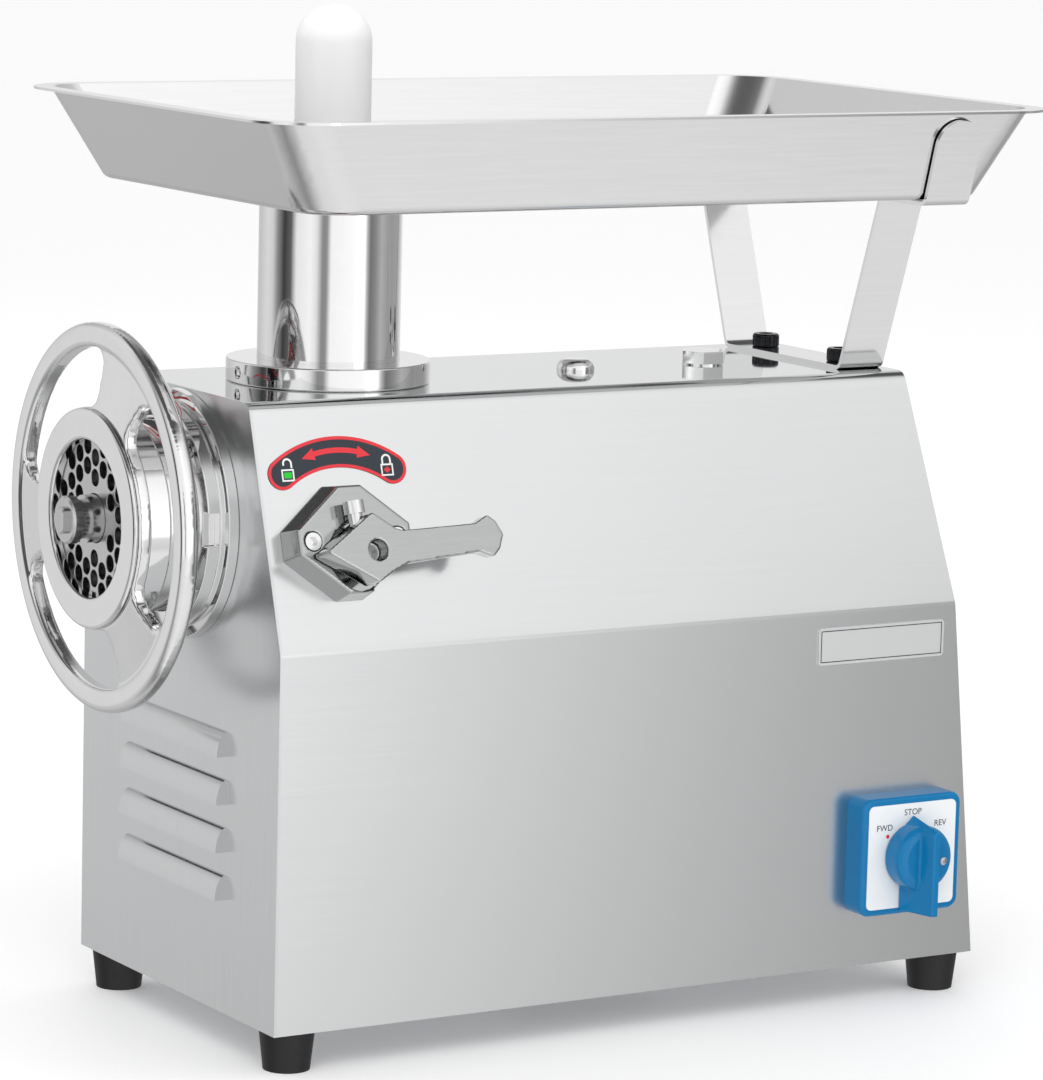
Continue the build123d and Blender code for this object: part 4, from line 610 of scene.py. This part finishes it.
for x, bow in ((-lockX, "openBow"), (lockX, "shutBow")):
    shiftX, shiftY, start, end = lockLabel[bow]
    padlocks += frameOf(x, lockY - lockLabel["caseDrop"], **lockLabel["case"])
    padlocks += shackle(x + shiftX, lockY + shiftY, start, end, **lockLabel["bow"])
freeSign = [shifted(lockLabel["freeSign"], -lockX, lockY)]
heldSign = [shifted(lockLabel["heldSign"], lockX, lockY)]
printPiece("side_label_border", borderOf(lockLabel), onSlope, "red", "housing", lift)
printPiece("side_label_arrow", lockArrow, onSlope, "red", "housing", lift)
printPiece("side_label_locks", padlocks, onSlope, "white", "housing", lift)
printPiece("side_label_free", freeSign, onSlope, "green", "housing", lift)
printPiece("side_label_held", heldSign, onSlope, "red", "housing", lift)

# narrow label over the ring nut on the outlet end
ringLabel = {
    "ahead": 14.0, "radius": 51.2, "halfWidth": 3.5, "span": 56, "border": 0.8, "lift": 0.42,
    "arrow": {"reach": 17, "headLength": 4.0, "headHalf": 1.6, "lineHalf": 0.6},
}
onRing = placeOn((origin["outlet"] - ringLabel["ahead"] * mm, 0, origin["axis"]), (0, -1, 0), (0, 0, 1))
ringArrow = doubleArrow(ringLabel["radius"], **ringLabel["arrow"])
printPiece("ring_label_border", borderOf(ringLabel), onRing, "red", "housing", ringLabel["lift"])
printPiece("ring_label_arrow", ringArrow, onRing, "red", "housing", ringLabel["lift"])

onSide = placeOn((origin["outlet"], origin["side"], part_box("base_plate")[0][2]), (1, 0, 0), (0, 0, 1))
plateLine = frameOf(namePlate["along"], namePlate["rise"], namePlate["halfX"] - namePlate["inset"],
                    namePlate["halfY"] - namePlate["inset"], namePlate["line"])
printPiece("nameplate_border", plateLine, onSide, "black", "housing", namePlate["lift"])
print("stage: labels")

# switch face: generic words and dots for the three settings
switchFace = {
    "along": 354.0, "rise": 58.0,             # knob's axis, from the outlet end and from the base
    "lift": 14.42, "letterMm": 4.4, "letterThick": 0.03, "dotRadius": 1.0,
    "words": {"stop": ("STOP", 0, 20.6), "fwd": ("FWD", -17.0, 13.6), "rev": ("REV", 17.0, 13.6)},
    "dots": [(0, 18.2), (-15.0, 10.6), (15.0, 10.6)],
}
for name, (word, x, y) in switchFace["words"].items():
    letters = bpy.data.curves.new("switch_word_" + name, "FONT")
    letters.body = word
    letters.size = switchFace["letterMm"] * mm
    letters.align_x = "CENTER"
    letters.extrude = switchFace["letterThick"] * mm
    letters.materials.append(inks["black"])
    piece = bpy.data.objects.new("switch_word_" + name, letters)
    wordLift = switchFace["lift"] + switchFace["letterThick"]
    wordPlace = Vector((switchFace["along"] + x, switchFace["rise"] + y, wordLift)) * mm
    piece.matrix_world = onSide @ Matrix.Translation(wordPlace)
    scene.collection.objects.link(piece)
    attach(piece, "housing")
dots = [circlePoints(switchFace["dotRadius"], 20, (switchFace["along"] + x, switchFace["rise"] + y))
        for x, y in switchFace["dots"]]
printPiece("switch_dots", dots, onSide, "red", "housing", switchFace["lift"])
print("stage: switch face")


def loft(mesh, rings):
    # skin over rings of equal count, closed at both ends
    made = [[mesh.verts.new(Vector(point) * mm) for point in ring] for ring in rings]
    for lower, upper in zip(made, made[1:]):
        for i in range(len(lower)):
            j = (i + 1) % len(lower)
            mesh.faces.new((lower[i], lower[j], upper[j], upper[i]))
    mesh.faces.new(made[0][::-1])
    mesh.faces.new(made[-1])


# moulded knob: round base, and a wedge grip with a nose at the top
knob = {
    "back": 14.8,                             # stands off the side of the body
    "base": [(16.6, 0.0), (16.6, 9.6), (16.0, 11.2), (14.6, 12.4), (12.0, 13.0)],    # radius and height
    "foot": [(0, 20.5), (-7.4, 13.6), (-7.4, -27.6), (7.4, -27.6), (7.4, 13.6)],     # grip at the base
    "crest": [(0, 16.0), (-1.9, 14.2), (-1.9, -27.6), (1.9, -27.6), (1.9, 14.2)],    # and at the top
    "height": 21.2,
    "rounding": (0.4, 7),
    "screwAcross": 10.2, "screwRise": -1.5,
    "screw": [(2.1, 12.6), (2.1, 13.2), (1.8, 13.5), (1.0, 13.7), (0.9, 13.2), (0.3, 13.2)],
}
onSwitch = onSide @ Matrix.Translation(Vector((switchFace["along"], switchFace["rise"], knob["back"])) * mm)
mesh = bmesh.new()
loft(mesh, [[(x, y, z) for x, y in circlePoints(radius, 64)] for radius, z in knob["base"]])
loft(mesh, [[(x, y, 0.0) for x, y in knob["foot"]], [(x, y, knob["height"]) for x, y in knob["crest"]]])
grip = addPiece("knob_moulding", mesh, onSwitch, finishes["switch_blue"], "knob")
roundOver(grip, *knob["rounding"])
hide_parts("switch_knob")
mesh = bmesh.new()
screwCentre = (knob["screwAcross"], knob["screwRise"])
loft(mesh, [[(x, y, z) for x, y in circlePoints(radius, 24, screwCentre)] for radius, z in knob["screw"]])
pin = addPiece("knob_screw_head", mesh, onSwitch, finishes["zinc_steel"], "knob")
pin.data.set_sharp_from_angle(angle=math.radians(35))
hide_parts("knob_screw")
print("stage: knob")

# knurled socket screws of the bracket
socketScrew = {
    "radius": 6.9, "height": 6.7, "teeth": 36, "toothDepth": 0.35,
    "socketRadius": 4.0, "socketDepth": 3.4,  # hexagon, to its corners
    # height over the seat, how far the head draws in there, and whether it is knurled
    "profile": [(0.0, 0.5, False), (0.5, 0.0, False), (0.9, 0.0, True), (5.1, 0.0, True), (5.5, 0.0, False),
                (5.9, 0.05, False), (6.7, 0.8, False)],
}
angles = [2 * math.pi * i / (socketScrew["teeth"] * 4) for i in range(socketScrew["teeth"] * 4)]
outlines = []
for height, drawn, knurled in socketScrew["profile"]:
    outline = []
    for i, angle in enumerate(angles):
        dip = socketScrew["toothDepth"] if knurled and i % 4 < 2 else 0
        reach = socketScrew["radius"] - drawn - dip
        outline.append((reach * math.cos(angle), reach * math.sin(angle)))
    outlines.append((height, outline))
hexagon = []
for angle in angles:
    reach = socketScrew["socketRadius"] * math.cos(math.pi / 6) / math.cos(angle % (math.pi / 3) - math.pi / 6)
    hexagon.append((reach * math.cos(angle), reach * math.sin(angle)))
for depth in (0, socketScrew["socketDepth"]):
    outlines.append((socketScrew["height"] - depth, hexagon))
low, high = (Vector(corner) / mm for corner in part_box("bracket_screws"))
seat = high.z - socketScrew["height"]
mesh = bmesh.new()
for side in (low.y + socketScrew["radius"], high.y - socketScrew["radius"]):
    centre = ((low.x + high.x) / 2, side)
    loft(mesh, [[(x, y, seat + height) for x, y in shifted(outline, *centre)] for height, outline in outlines])
heads = addPiece("bracket_screw_heads", mesh, Matrix(), finishes["black_oxide"], "housing")
heads.data.set_sharp_from_angle(angle=math.radians(30))
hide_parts("bracket_screws")
print("stage: pieces")
